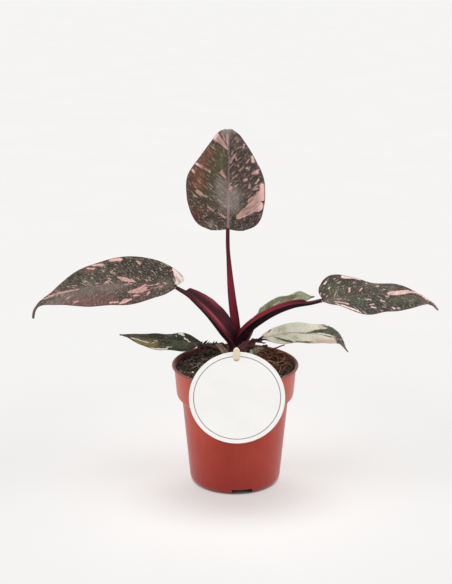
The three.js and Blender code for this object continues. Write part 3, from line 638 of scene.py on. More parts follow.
MARKS = {
    "blade_top": Marks(
        streaks=[
            (-12.8, 86, 3.3, -6, 79.5, 2.4), (-6, 79.5, 2.2, -1.2, 73.5, 0.7),
            (-6.8, 89.5, 0.7, -3.4, 81.5, 0.6), (-1.9, 88.5, 1.3, -1.3, 76, 0.8),
            (-30.5, 60, 0.9, -25, 57, 1.5), (-22.5, 56, 0.8, -17.5, 52.5, 0.7),
            (-7.5, 52, 1.4, -3.2, 47.8, 0.6), (-29, 34.5, 1.6, -26, 32, 1.9),
            (-25.5, 32, 1, -20, 29.3, 0.5), (-19, 20.5, 1, -14.5, 17, 1.2), (-7, 14, 1.1, -3.5, 10.8, 0.7),
            (-10, 26.5, 0.8, -7, 24.5, 0.7), (-33.5, 54, 0.8, -32, 51.5, 0.7),
            (-28, 44.5, 0.8, -26.5, 42, 0.8), (3.6, 71.5, 0.6, 2.8, 69.5, 0.9),
            (8.2, 72.5, 0.4, 5, 68, 0.7), (5, 68, 1, 1.3, 62, 1), (6.3, 66, 0.7, 7, 64, 0.9),
            (13.8, 78, 0.7, 13.2, 75, 1), (21.5, 66.5, 1.2, 22, 62.5, 1.5), (18.5, 64, 0.7, 16.5, 61, 0.8),
            (8.8, 60, 0.7, 8.4, 58.5, 0.8), (13.3, 57.3, 0.6, 10, 54, 0.7),
            (16, 56.5, 0.9, 17.5, 56.3, 0.7), (8, 49.8, 0.9, 4, 47, 0.8), (13.8, 44.8, 1, 16.5, 46, 1.1),
            (26.5, 62, 1, 27.3, 60, 1.2), (22, 51, 1.1, 26, 52.8, 1.9), (27.8, 46, 0.7, 25.2, 42, 0.8),
            (19.8, 41.5, 0.7, 19, 37.8, 1), (23.5, 36.5, 0.8, 27, 37.8, 1), (31, 40, 2.4, 31.5, 30, 3.5),
            (29, 31, 4, 22, 25, 4.2), (28.5, 21.8, 4.2, 20, 19.6, 4), (20.5, 19, 4, 10, 12, 2.5),
            (2.2, 38.5, 1.6, 1.8, 36, 1.6),
        ],
        warm=[(-22, 71, 6), (-26, 60, 7), (-15, 70, 4), (-29, 48, 8), (-27, 40, 6), (-29, 15, 5)],
        cool=[(-7, 70, 6), (-9, 60, 7), (-16, 50, 5), (-18, 33, 6), (8, 16, 4)],
        dull=[
            (-5, 32, 7), (6, 32, 7), (-7, 42, 5), (-3, 22, 5), (0, 106, 10), (5, 22, 6), (-4, 94, 6),
            (-16, 5, 3),
        ],
    ),
    "blade_left": Marks(
        streaks=[
            (-13.5, 41.5, 2.2, -12, 34, 4), (-11.5, 32, 4.2, -8, 29, 3.6), (-7, 29.5, 2.8, -1, 27, 1.2),
            (-29.5, 53.5, 0.8, -26, 48, 1.7), (-26, 48, 2.2, -23.5, 42, 1.4),
            (-27.5, 62, 0.7, -27, 54, 0.9), (-18.8, 38.5, 1.1, -19.5, 34, 1.2),
            (-20.5, 26.5, 0.9, -15, 24.3, 1), (-16.7, 96, 0.9, -17, 92, 0.9),
            (-9.5, 104, 0.7, -7, 94.5, 0.6), (-0.6, 46, 0.7, 0.3, 39.5, 0.8), (8, 51, 1.2, 5.5, 46, 2.5),
            (5.5, 46, 2.5, 2.8, 37, 1.1), (27.5, 72, 1.4, 25.5, 64, 2), (30.5, 56, 1.8, 30, 49, 2.6),
            (24, 77, 0.9, 22, 72, 1.1), (2, 63.5, 1.1, 4, 60.5, 1.2), (7.6, 60.5, 0.7, 6.3, 58.5, 0.6),
            (4, 79.5, 0.6, 1.3, 76.8, 0.7), (2.8, 72, 0.7, 2, 69.5, 0.6), (7.2, 82, 0.6, 6.5, 80.5, 0.5),
            (27, 34, 0.9, 23.5, 31.5, 1), (13.8, 55, 0.7, 13, 53.5, 0.7), (4.6, 27, 0.6, 4.2, 23, 0.8),
            (2, 121, 0.8, 1.8, 106, 1.2), (1.8, 106, 1.2, 0, 88, 0.6), (-14, 36, 0.8, -12, 24, 0.7),
            (-9, 22, 0.8, -4, 12, 0.6), (4, 1, 2.5, 16, 4.5, 3.8), (-4, 25, 1, 0, 16, 1),
        ],
        warm=[
            (-16, 102, 10), (-20, 86, 9), (-23, 72, 7), (9, 112, 6), (-21, 60, 6), (22, 76, 5), (17, 9, 4),
            (-16, 34, 6),
        ],
        cool=[(13, 44, 4), (4, 88, 5), (-12, 57, 4), (3.5, 97, 4), (16, 22, 8), (20, 34, 6), (14, 12, 7)],
        dull=[(-5, 80, 10), (-6, 62, 9), (-6, 100, 9), (-3, 52, 6), (-12, 112, 9), (0, 10, 6)],
    ),
    "blade_right": Marks(
        streaks=[
            (-8.5, 88, 1.4, -6, 78, 2.9), (-6, 78, 3, -2.3, 69, 3.6), (-2.3, 69, 3.6, -1.2, 62, 2.6),
            (-7, 86, 1.4, -4.2, 92.5, 1.2), (-4.2, 92.5, 1.2, -1.2, 99, 1), (-1.2, 99, 0.9, 0, 110, 0.8),
            (-24.5, 34, 0.9, -26.3, 28, 1.6), (-26.3, 28, 1.6, -26.6, 20.5, 3),
            (-15, 51.3, 1.2, -15, 49.8, 1.2), (-8.5, 57, 0.7, -8, 56, 0.7), (-10.2, 36, 0.5, -6, 34.3, 0.5),
            (-10.5, 25, 0.8, -5.5, 24.5, 0.7), (-19, 28.5, 0.8, -18.5, 28, 0.7),
            (-20.5, 40.5, 0.7, -20, 40, 0.7), (-12.5, 8.3, 0.6, -10.5, 7.6, 0.6),
            (-18.5, 6, 0.6, -15.5, 4.6, 0.6), (11.2, 57, 0.9, 9.3, 54, 1), (3.6, 61, 0.7, 3.4, 58.5, 0.7),
            (8.5, 44.5, 0.8, 7, 42, 0.8), (14, 46.5, 0.8, 14.6, 44, 0.7), (19.2, 49, 0.9, 18, 45, 0.8),
            (19.2, 66.5, 0.9, 18.5, 64.5, 0.8), (18, 71.5, 0.7, 18.3, 70, 0.6),
            (13, 24, 1.3, 9.3, 12.5, 0.9), (4, 17.5, 0.6, 2.6, 10.5, 0.6), (22, 33, 0.7, 15, 15.5, 0.9),
            (19.5, 27, 0.4, 13, 13, 0.5), (23.5, 36, 0.4, 18.5, 23, 0.6),
        ],
        warm=[(-10, 73, 4), (2, 80, 4), (-1, 92, 5), (-9, 66, 3)],
        cool=[(6, 78, 5), (8, 68, 5), (9, 35, 6), (-12, 14, 8), (3, 86, 4)],
        dull=[(-18, 48, 5), (-12, 64, 4), (3, 8, 6), (12, 8, 6), (4, 20, 5), (6, 95, 4)],
    ),
    "blade_low_left": Marks(
        streaks=[
            (-12.2, 46, 1.3, -12.6, 30, 1.6), (-10, 29, 0.8, -9, 25.5, 0.5), (-4.2, 58, 0.5, -5.8, 50, 0.5),
            (-2.4, 67, 0.4, -3.6, 58, 0.5), (-6.2, 50, 0.4, -4.5, 40, 0.3), (-2, 43.5, 0.6, -2.6, 40, 0.6),
            (12, 20, 2.4, 8.5, 16.5, 0.9), (5, 15, 0.9, 0.5, 9, 0.5), (12, 25, 0.4, 6.5, 23.6, 0.4),
        ],
        warm=[(11, 31, 5), (3, 67, 6), (8, 60, 5), (-9, 34, 2.5)],
        cool=[(-6, 60, 4), (-7, 52, 5), (-7, 43, 5)],
        dull=[(-6, 22, 6), (-5, 12, 5), (-8, 32, 3)],
    ),
    "blade_low_right": Marks(
        streaks=[
            (1.3, 36, 0.5, -0.5, 46, 0.8), (-0.5, 46, 0.9, -3.3, 53, 1.8), (-3.3, 53, 1.8, -5.5, 60, 2.8),
            (-5.5, 60, 2.8, -7, 70, 5), (0, 58, 0.4, 0.8, 68, 1), (-12.5, 61, 0.8, -12, 70, 1.6),
            (16, 24.5, 1.3, 10, 17.5, 1.5), (9, 16.5, 1.1, 2.7, 10.8, 0.7), (-7, 10, 0.6, -1.5, 2, 0.5),
            (13, 47, 0.7, 15.5, 28, 0.8), (-15, 63, 0.7, -13.5, 60, 0.6),
        ],
        warm=[(10, 68, 6), (12, 53, 6), (13, 61, 5), (-10, 60, 4), (2, 22, 3)],
        cool=[(-10, 75, 5), (3, 79, 6), (3, 87, 8), (-3, 84, 8), (0, 95, 9), (-3, 77, 5)],
        dull=[(10, 30, 5), (-6, 20, 6), (8, 15, 4), (13, 21, 4)],
    ),
    "blade_back": Marks(
        streaks=[(-9, 53, 1.2, -8, 46, 1), (-4, 29, 0.8, -2.5, 22, 0.8), (-1.5, 50, 0.8, -1, 42, 0.6)],
        warm=[(-8, 37, 5), (-10, 33, 3), (-4, 42, 3)],
        cool=[(-3, 18, 5), (-3, 45, 4)],
        dull=[(-4, 54, 5), (0, 58, 5)],
    ),
}


# ---------------------------------------------------------------- blades

class Surface:
    """The middle surface of a blade. x is from -1 at the left margin to 1 at the right one."""

    def __init__(self, form):
        self.form = form
        self.track = Track(form.midrib, form.faces)
        self.widths = [list(zip(STATIONS, half)) for half in (form.left, form.right)]

    def width(self, t, x):
        tear = self.form.ragged * rough((0, 9 * (x > 0), t * self.track.length), 2.4, 6)
        return smooth(self.widths[x > 0], t) * (1 + tear)

    def row(self, t):
        """A function from a share across the blade to a point, for one share of the midrib."""
        at, along, across, up = self.track.frame(t)
        fold = math.radians(smooth(self.form.fold, t))
        height, waves, start = self.form.ripple
        widths = [self.width(t, side) for side in (-1, 1)]

        def place(u):
            x = 2 * u - 1
            right = x > 0
            side = 1 if right else -1
            q = abs(x)
            bend = math.radians(self.form.curl[right])
            turned = fold + bend * q * widths[right]
            out = (math.sin(turned) - math.sin(fold)) / bend
            wave = math.sin(TURN * (waves * t + start) + side)
            lift = (math.cos(fold) - math.cos(turned)) / bend + height * wave * q * q
            back = self.form.lobes[right] * math.sin(2.2 * q) * max(0, 1 - t / 0.3) ** 2
            return at + across * side * out + up * lift - along * back

        return place


def in_streaks(streaks):
    """A function of a place on a blade: how deep in a streak it is, in millimetres and not below -3."""

    def depth(s, a):
        best = -3
        for x0, y0, r0, x1, y1, r1 in streaks:
            dx, dy = x1 - x0, y1 - y0
            u = min(max(((s - x0) * dx + (a - y0) * dy) / (dx * dx + dy * dy), 0), 1)
            best = max(best, r0 + (r1 - r0) * u - math.hypot(s - x0 - dx * u, a - y0 - dy * u))
        return best

    return depth


def in_clouds(clouds):
    """A function of a place on a blade: how much it is in the clouds, from 0 to 1."""

    def share(s, a):
        return min(1, sum(math.exp(-((s - x) ** 2 + (a - y) ** 2) / r ** 2) for x, y, r in clouds))

    return share


# A place on a blade. vein is where the side vein through it leaves the midrib: veins lean to the tip.
Spot = namedtuple("Spot", "across share vein rim along")


def blade(name, form, material, slot, cells, marks, *nodes):
    """A blade as a fine thin solid, with its midrib, its sunken side veins and the places of its marks."""
    surface = Surface(form)
    length = surface.track.length
    lean, more = VEIN_LEAN
    piece, places = shaped(name, *cells, surface.row)

    def spot(u, t):
        x = 2 * u - 1
        across, along = x * surface.width(t, x), t * length
        return Spot(across, t, along - abs(across) * (lean + more * t), abs(x), along)

    spots = [spot(u, t) for u, t in places]
    relief(piece, spots, length)
    readings = {kind: in_clouds(getattr(marks, kind)) for kind in ("warm", "cool", "dull")}
    for fact, reading in {"mark": in_streaks(marks.streaks), **readings}.items():
        write(piece, fact, [reading(s.across, s.along) for s in spots])
    for k, fact in enumerate(("across", "share", "vein", "rim")):
        write(piece, fact, [s[k] for s in spots])
    thicken(piece, spots)
    worn(piece, material, slot, *nodes)


def relief(piece, spots, length):
    """Moves the vertices along their normals: a groove at the midrib and a shallow one at each side vein."""
    normals = [v.normal.copy() for v in piece.data.vertices]
    for vertex, normal, (s, t, vein, q, a) in zip(piece.data.vertices, normals, spots):
        near = abs((vein / VEIN_SPACING) % 1 - 0.5) * 2
        side = VEIN_GROOVE * (1 - near) ** 2 * step(1.5, 6, abs(s)) * step(1, 0.8, q) * min(length / 90, 1)
        groove = RIB_GROOVE * math.exp(-(s / 2.4) ** 2) - RIB_RIDGE * math.exp(-(s / 0.9) ** 2)
        uneven = UNEVENNESS * rough((s, vein, 0), 14, 1) * q
        vertex.co += normal * (uneven - side - groove - MARGIN_TURN * step(0.86, 1, q)) * MM


def thicken(piece, spots):
    """Gives a blade its thickness, thin at the rim, with the rib standing out of the underside."""
    for vertex in piece.data.vertices:
        vertex.co += vertex.normal * LEAF_THICKNESS / 2 * MM
    most = LEAF_THICKNESS + RIB_DEPTH
    group = piece.vertex_groups.new(name="thickness")
    for k, (s, t, vein, q, a) in enumerate(spots):
        rib = RIB_DEPTH * (1 - 0.9 * t) * math.exp(-(s / RIB_SPREAD) ** 2)
        sheet = LEAF_THICKNESS + (RIM_THICKNESS - LEAF_THICKNESS) * step(0.75, 1, q)
        group.add([k], (rib + sheet) / most, "REPLACE")
    change(
        piece, "SOLIDIFY", thickness=most * MM, offset=-1, vertex_group="thickness",
        thickness_vertex_group=0, use_even_offset=False,
    )
    piece.vertex_groups.clear()
    write(piece, "under", [float(k >= len(spots)) for k in range(len(piece.data.vertices))])


# ---------------------------------------------------------------- petioles and stem

def petiole_outline(body, left_wing, right_wing):
    """The petiole's section: a D-shaped body with a groove, and a wing on each side, from the middle of
    the groove round to the right. x is to the right and y is the way that the channel opens."""
    groove = body * (1 - 0.4 * min(1, (left_wing + right_wing) / 3))
    inner, outer = WING_ANGLE - 12, WING_ANGLE + 14

    def half(wing):
        far = body + wing
        rim = math.degrees(WING_RIM / far)
        up = [
            (inner + (WING_ANGLE - rim - inner) * share, (0.92 + 0.08 * share) * body + wing * share)
            for share in (0.35, 0.7, 0.93)
        ]
        down = [
            (outer + (WING_ANGLE + rim - outer) * share, body + wing * share) for share in (0.93, 0.7, 0.35)
        ]
        return [
            (12, groove * 1.02), (24, (groove + 0.2 * body) / 1.2), (35, 0.87 * body), (inner, 0.92 * body),
            *up, (WING_ANGLE - rim, far), (WING_ANGLE + rim, far), *down,
            *((a, body) for a in (outer, 85, 101, 120, 140, 160)),
        ]

    left = [(-a, r) for a, r in reversed(half(left_wing))]
    ring = [(0, groove), *half(right_wing), (180, body), *left]
    return [(r * math.sin(math.radians(a)), r * math.cos(math.radians(a))) for a, r in ring]


def petiole(name, spec, material, rings=90):
    """A petiole with its winged sheath. around and side say which part of the section a place is on."""
    track = Track(spec.route, spec.opens)
    sides = len(petiole_outline(1, 1, 1))

    def row_at(t):
        at, along, across, up = track.frame(t)
        at = at + along * END_REACH * step(0.95, 1, t)
        ragged = 1 + 0.04 * rough((0, 0, t * track.length), 5, 3)
        wings = [max(0, smooth(half, t)) * ragged for half in (spec.left, spec.right)]
        outline = petiole_outline(smooth(spec.body, t), *wings)

        def place(u):
            x, y = outline[round(u * sides) % sides]
            return at + across * x + up * y

        return place

    piece = tube(
        name, sides, rings, row_at, around=lambda u, v: 1 - abs(2 * u - 1),
        side=lambda u, v: math.sin(TURN * u), share=lambda u, v: v,
    )
    change(piece, "SUBSURF", levels=1, render_levels=1)
    worn(piece, material, "petiole", name)


def stem(material):
    foot, top = Vector(STEM["foot"]), Vector(STEM["top"])

    def row_at(t):
        scar = 0.45 * max(0, math.cos(t * STEM["scars"] * TURN)) ** 3
        radius = (STEM["radius"] * (0.55 + t if t < 0.45 else 1) + scar) * (1 - 0.28 * step(0.94, 1, t))

        def place(u):
            c, s = circle(u)
            swell = 1 + 0.03 * rough((c * 5, s * 5, t * 60), 3)
            return foot.lerp(top, t) + Vector((c, s, 0)) * radius * swell

        return place

    worn(tube("stem", 40, 90, row_at), material, "stem", "stem", soft=40)


# ---------------------------------------------------------------- pot

def corners_rounded(profile, radius, steps=4):
    """A profile whose corners are turned into short curves."""
    made = [profile[0]]
    for a, p, b in zip(profile, profile[1:], profile[2:]):
        a, p, b = Vector(a), Vector(p), Vector(b)
        start, end = (p + (far - p) * min(radius / (far - p).length, 0.48) for far in (a, b))
        made += [start.lerp(p, k / steps).lerp(p.lerp(end, k / steps), k / steps) for k in range(steps + 1)]
    return [*made, profile[-1]]


POT_TURNS = 144


def spun(name, profile):
    """A profile of (radius, height) pairs spun round the axis. It starts and ends on the axis."""
    piece = add("circle", name, vertices=len(profile), radius=1)
    for vertex, (r, z) in zip(piece.data.vertices, profile):
        vertex.co = Vector((r, 0, z)) * MM
    spin = {"steps": POT_TURNS, "angle": TURN, "center": (0, 0, 0), "axis": (0, 0, 1)}
    edit(piece, ("spin", spin), ALL, WELDED, ("delete_loose", {}), ALL, OUTWARD)
    return piece


POT_OUTSIDE = [
    (0, 0), (39.5, 0), (42, 1.2), (43.3, 4), (50.2, COLLAR_BOTTOM - 4), (50.9, COLLAR_BOTTOM - 2),
    (54.8, COLLAR_BOTTOM + 1.2), (55.6, COLLAR_BOTTOM + 4), (57.7, POT_HEIGHT - 2.6),
    (59.6, POT_HEIGHT - 2), (POT_RADIUS, POT_HEIGHT - 1.1), (59.6, POT_HEIGHT - 0.2), (58.8, POT_HEIGHT),
]

POT_INSIDE = [
    (57.4, POT_HEIGHT - 0.3), (56.7, POT_HEIGHT - 2.4), (54.6, COLLAR_BOTTOM + 4.4),
    (53.9, COLLAR_BOTTOM + 2.4), (49.9, COLLAR_BOTTOM - 1), (49.1, COLLAR_BOTTOM - 4.4),
    (42.3, 5), (40.6, FLOOR_THICKNESS + 0.6), (38.6, FLOOR_THICKNESS), (0, FLOOR_THICKNESS),
]

NOTCH_ANGLES = [math.radians(NOTCH["first_angle"] + 360 / NOTCH["count"] * k) for k in range(NOTCH["count"])]


def channels(thickness):
    """A block for each drainage channel under the floor, made larger all round by a thickness."""
    length = POT_RADIUS - NOTCH["inner"] + 2 * thickness
    wide, high = NOTCH["width"] + 2 * thickness, 2 * (NOTCH["height"] + thickness)
    made = []
    for angle in NOTCH_ANGLES:
        block = add("cube", "channel", size=1)
        block.scale = (length * MM, wide * MM, high * MM)
        put_down(block)
        change(block, "BEVEL", width=0.8 * MM, segments=3)
        block.location.x = (NOTCH["inner"] + length / 2 - thickness) * MM
        put_down(block)
        block.rotation_euler.z = angle
        put_down(block)
        made.append(block)
    return made


def drain_holes():
    made = []
    for angle in NOTCH_ANGLES:
        at = (DRAIN_AT * MM * math.cos(angle), DRAIN_AT * MM * math.sin(angle), 0)
        made.append(add("cylinder", "drain", vertices=48, radius=DRAIN_RADIUS * MM, depth=0.03, location=at))
        put_down(made[-1])
    return made


def pot(material):
    outside = corners_rounded(POT_OUTSIDE, 1.2)
    piece = spun("pot", [*outside, *corners_rounded([POT_OUTSIDE[-1], *POT_INSIDE], 1.2)[1:]])
    for block in channels(POT_WALL):
        combine(block, "INTERSECT", spun("full", [*outside, (0, POT_HEIGHT)]))
        combine(piece, "UNION", block)
    combine(piece, "DIFFERENCE", *channels(0), *drain_holes())
    worn(piece, material, "pot", "pot", soft=30)


# ---------------------------------------------------------------- soil

def soil_height(x, y):
    """Height of the soil at a place: a mound round the stem, lumps, and fibre heaped at the back."""
    share = min(math.hypot(x, y) / SOIL_SHOULDER, 1)
    mound = SOIL_MOUND * math.cos(share * math.pi / 2) ** 2
    lumps = sum(high * rough((x, y, 0), size, seed) for high, size, seed in SOIL_LUMPS)
    heap = 2.2 * step(8, 38, x) * step(-25, 15, y)
    return SOIL_EDGE + mound + lumps + heap


SOIL_WALL = [(0, 1.9), (38.2, 1.9), (41.9, 5.2), (48.7, 79.8), (49.5, 83.2), (53.5, 86.7), (54.2, 88.8)]
SOIL_TOP_RINGS = 64


def soil(material):
    """The soil as one solid: its wall follows the inside of the pot, and its top is rough."""
    wall = corners_rounded([*SOIL_WALL, (SOIL_RADIUS, SOIL_EDGE)], 2, 2)
    rings = len(wall) - 1 + SOIL_TOP_RINGS

    def row_at(v):
        k = round(v * rings)
        on_wall = k < len(wall)
        r = wall[k][0] if on_wall else SOIL_RADIUS * (rings - k) / SOIL_TOP_RINGS

        def place(u):
            c, s = circle(-u)
            return (r * c, r * s, wall[k][1] if on_wall else soil_height(r * c, r * s))

        return place

    piece = tube("soil", 288, rings, row_at)
    combine(piece, "DIFFERENCE", *channels(POT_WALL + GAP))
    worn(piece, material, "soil", "soil")


# ---------------------------------------------------------------- label, stick and twig

def label_disc(material):
    """A round card that leans back a little, with a slot whose lower end is round."""
    size = {"radius": LABEL["radius"] * MM, "depth": LABEL["thickness"] * MM}
    disc = add("cylinder", "label_disc", vertices=180, **size)
    half, aside = SLOT["half"], SLOT["aside"] * MM
    top = LABEL["radius"] - SLOT["below_top"] + SLOT["height"] / 2
    end = top - SLOT["height"] + half
    hole = add("cube", "slot", size=1)
    hole.scale = (2 * half * MM, (top - end) * MM, 0.01)
    hole.location = (aside, (top + end) / 2 * MM, 0)
    put_down(hole)
    at = (aside, end * MM, 0)
    end_cut = add("cylinder", "slot_end", vertices=48, radius=half * MM, depth=0.01, location=at)
    combine(hole, "UNION", end_cut)
    combine(disc, "DIFFERENCE", hole)
    change(disc, "BEVEL", width=0.12 * MM, segments=2, angle_limit=math.radians(50))
    disc.rotation_euler.x = math.radians(90) - LABEL["lean"]
    disc.location = Vector(LABEL["centre"]) * MM
    put_down(disc)
    worn(disc, material, "label", "label_disc", soft=20)


def label_stick(material):
    """A flat wooden stick with a rounded top, which leans back through the slot."""
    lean, tilt = LABEL["lean"], STICK["tilt"]
    down = Vector((0, math.sin(tilt), -math.cos(tilt)))
    face = Vector((0, -math.cos(tilt), -math.sin(tilt)))
    up = LABEL["radius"] - SLOT["below_top"]
    slot = Vector(LABEL["centre"]) + Vector((SLOT["aside"], up * math.sin(lean), up * math.cos(lean)))
    top = slot - down * STICK["above"]

    def row_at(v):
        far = STICK["length"] * v ** 2
        share = min(far / STICK["shoulder"], 1)
        sizes = STICK["width"] / 2 * math.sqrt(max(1 - (1 - share) ** 2.6, 0.0004)), STICK["thickness"] / 2

        def place(u):
            x, y = (size * math.copysign(abs(c) ** 0.35, c) for size, c in zip(sizes, circle(u)))
            return top + Vector((x, 0, 0)) + face * y + down * far

        return place

    worn(tube("label_stick", 48, 60, row_at), material, "stick", "label_stick", soft=50)


def dry_twig(material):
    track = Track(TWIG["route"])

    def row_at(t):
        at, along, across, up = track.frame(t)
        radius = TWIG["radius"] * (1 - 0.3 * t)

        def place(u):
            c, s = circle(u)
            way = across * s + up * c
            return at + way * radius * (1 + 0.25 * rough(at + way * 2, 2.2, 4))

        return place

    worn(tube("dry_twig", 16, 80, row_at), material, "twig", "dry_twig")


# ---------------------------------------------------------------- litter on the soil and at the crown

def crumbs(material, count=800):
    """Crumbs of peat and bark on the soil. tint says how light each one is."""
    rng = random.Random(5)
    kinds = []
    for seed in range(5):
        kind = add("ico_sphere", "crumb", subdivisions=2, radius=1)
        for vertex in kind.data.vertices:
            vertex.co *= 1 + 0.45 * rough(vertex.co, 0.9, seed)
        kinds.append(kind)
    made = []
    for _ in range(count):
        far, turn = CRUMB_REACH * math.sqrt(rng.random()), rng.random() * TURN
        x, y = far * math.cos(turn), far * math.sin(turn)
        size = 0.4 + 1.3 * rng.random() ** 3
        copy = placed("crumb", rng.choice(kinds).data.copy())
        copy.scale = [MM * size * rng.uniform(0.6, 1.5) for _ in range(3)]
        copy.rotation_euler = [rng.uniform(0, TURN) for _ in range(3)]
        copy.location = Vector((x, y, soil_height(x, y) + 0.2 * size)) * MM
        write(copy, "tint", [rng.random()] * len(copy.data.vertices))
        made.append(copy)
    for kind in kinds:
        bpy.data.objects.remove(kind)
    only(*made)
    bpy.ops.object.join()
    made[0].name = made[0].data.name = "peat_crumbs"
    put_down(made[0])
    worn(made[0], material, "soil", soft=None)


def strands(name, material, slot, routes, thickness):
    """Thin strands along routes that all have as many points. tint is a number for each strand."""
    curve = bpy.data.curves.new(name, "CURVE")
    curve.dimensions = "3D"
    curve.bevel_depth = thickness / 2 * MM
    curve.bevel_resolution = 0
    curve.use_fill_caps = True
    for route in routes:
        spline = curve.splines.new("POLY")
        spline.points.add(len(route) - 1)
        for k, (point, at) in enumerate(zip(spline.points, route)):
            point.co = (*(Vector(at) * MM), 1)
            point.radius = 1 - 0.6 * abs(2 * k / (len(route) - 1) - 1) ** 3
    piece = placed(name, curve)
    only(piece)
    bpy.ops.object.convert(target="MESH")
    rng = random.Random(len(routes))
    each = len(piece.data.vertices) // len(routes)
    write(piece, "tint", [tint for _ in routes for tint in [rng.random()] * each])
    edit(piece, OUTWARD)
    worn(piece, material, slot)


def fibre_routes(rng, count, middle, spread, length, lift):
    """Curved lines that lie on the soil round a middle."""
    routes, last = [], STRAND_POINTS - 1
    while len(routes) < count:
        x, y = rng.gauss(middle[0], spread), rng.gauss(middle[1], spread)
        heading, bend = rng.uniform(0, TURN), rng.uniform(-0.5, 0.5)
        far, top, points = rng.uniform(0.5, 1) * length / last, rng.uniform(0.3, 1) * lift, []
        for k in range(STRAND_POINTS):
            points.append((x, y, soil_height(x, y) + 0.1 + top * math.sin(math.pi * k / last)))
            x, y = x + far * math.cos(heading), y + far * math.sin(heading)
            heading += bend
        if max(math.hypot(x, y) for x, y, z in points) < STRAND_REACH:
            routes.append(points)
    return routes


def finer(points, count=STRAND_POINTS):
    """A short list of points as a smooth line of count points."""
    track = Track(points)
    return [track.at(k / (count - 1)) for k in range(count)]


def dry_hairs(rng, count=70):
    """Short stiff ends that stand up out of the dead leaf behind the stem."""
    routes = []
    for _ in range(count):
        start = Vector((-37, 36, 121)).lerp(Vector((-7, 24, 124)), rng.random())
        way = Vector((rng.uniform(-0.9, 0.9), -0.3, rng.uniform(0.4, 1))) * rng.uniform(3.5, 7.5)
        routes.append(finer([start, start + way * 0.5 + Vector((0.4, 0, 0.2)), start + way]))
    return routes


# ---------------------------------------------------------------- materials

def leaf(
    name, ground, other, mottle, warm, cool, dull, mark, light, fleck, ember, flecks, rib, rib_tip, rim,
    under, rib_share=0.6, gloss=0.4, broken=0.6,
):
    """Leaf skin: mottled ground, clouds of colour, ragged marks and flecks along the veins, a pale midrib.
    other is the ground of the right half, and broken is how much the ground shows through the marks."""
    made = Material(name, Specular_IOR_Level=0.28)
    across, share, vein, edge, below = made.facts("across", "share", "vein", "rim", "under")
    heat, chill, sheen_and_tone_share, depth = made.facts("warm", "cool", "dull", "mark")
    place = made.place()

    def along_veins(stretch, shift, size, detail=1.0):
        return made.noise(made.vector(across * stretch, vein, below * 30 + shift), size, detail, 0.6)

    streaky, splinter = along_veins(0.32, 0, 2.1, 3.0), along_veins(0.14, 5, 0.9, 2.0)
    fine, field, cloud = made.noise(place, 0.8), made.noise(place, 10), made.noise(place, 15, 3.0, 0.55)
    specks = along_veins(0.42, 17, 0.85).rise(0.57, 0.66) * (0.3 + 0.7 * field.rise(0.62, 0.45))
    dabs = along_veins(0.3, 9, 1.25).rise(0.61, 0.66) * field.rise(0.46, 0.58)
    hot = heat.rise(0.1, 0.6) * 0.8
    near = ((vein / VEIN_SPACING).fraction() - 0.5).size() * 2
    side_vein = near.rise(0.1, 0.02) * across.size().rise(2, 6)
    marked = (depth + (streaky - 0.5) * 2.2 + (splinter - 0.5) * 3).rise(-0.2, 0.25)
    bright = edge.rise(0.72, 0.95).higher(streaky.rise(0.46, 0.64) * 0.4)
    inside = made.over(
        mark, (bright, light), (share.rise(0.1, 0.05), "ddc9c6"),
        (splinter.rise(0.5, 0.64) * (broken - broken * 0.7 * bright), ground),
    )
    on_rib = (across.size() - (1.2 - 0.8 * share.rise(0, 0.7))).rise(0.35, -0.25)
    on_rib = on_rib * (1 - 0.7 * marked) * rib_share * (0.7 + 0.5 * fine)
    colour = made.over(
        ground,
        (across.rise(-3, 3), other),
        ((cloud * 0.5 + streaky * 0.5).rise(0.42, 0.58), mottle),
        (heat * (0.5 + 0.4 * streaky.rise(0.4, 0.6)), warm),
        (heat * share.rise(0.2, 0.12) * 0.8, "3c1307"),
        ((chill * (0.35 + streaky.rise(0.25, 0.6))).lower(1.0), cool),
        # painted sheen: the third kind of cloud lays a grey sheen on the dark blades; on blade_low_right it
        # is a green-grey tone
        (sheen_and_tone_share * (0.5 + 0.45 * streaky.rise(0.3, 0.65)), dull),
        (splinter.rise(0.5, 0.36) * (0.4 - 0.36 * chill), mottle),
        (specks * (flecks * 0.55 + heat * 0.3), made.over(fleck, (hot, ember))),
        (dabs * flecks, made.over(fleck, (cloud.rise(0.45, 0.55), mark), (hot, ember))),
        (side_vein * 0.18, rib_tip),
        (marked, inside),
        (on_rib, made.over(rib, (share.rise(0.1, 0.5), rib_tip))),
        (edge.rise(0.955, 0.985) * 0.7, rim),
        (fine.rise(0.62, 0.4) * 0.14, "1c1712"),
        (below * 0.72, under),
    )
    height = streaky * 0.5 + fine * 0.25 - side_vein * 0.3
    return made.done(colour, gloss + 0.16 * fine + 0.06 * marked, height, 0.3, 0.6)


# The looks of the leaves. A look that starts from another one keeps what it doesn't name.
DARK_LEAF = dict(
    ground="443628", other="453431", mottle="2c231e", warm="6a4230", cool="403e25", dull="857a74",
    mark="a48176", light="e0b6af", fleck="b8a698", ember="a9745c", flecks=0.85, rib="a5858a",
    rib_tip="80696a", rim="5e3c38", under="5c4644",
)

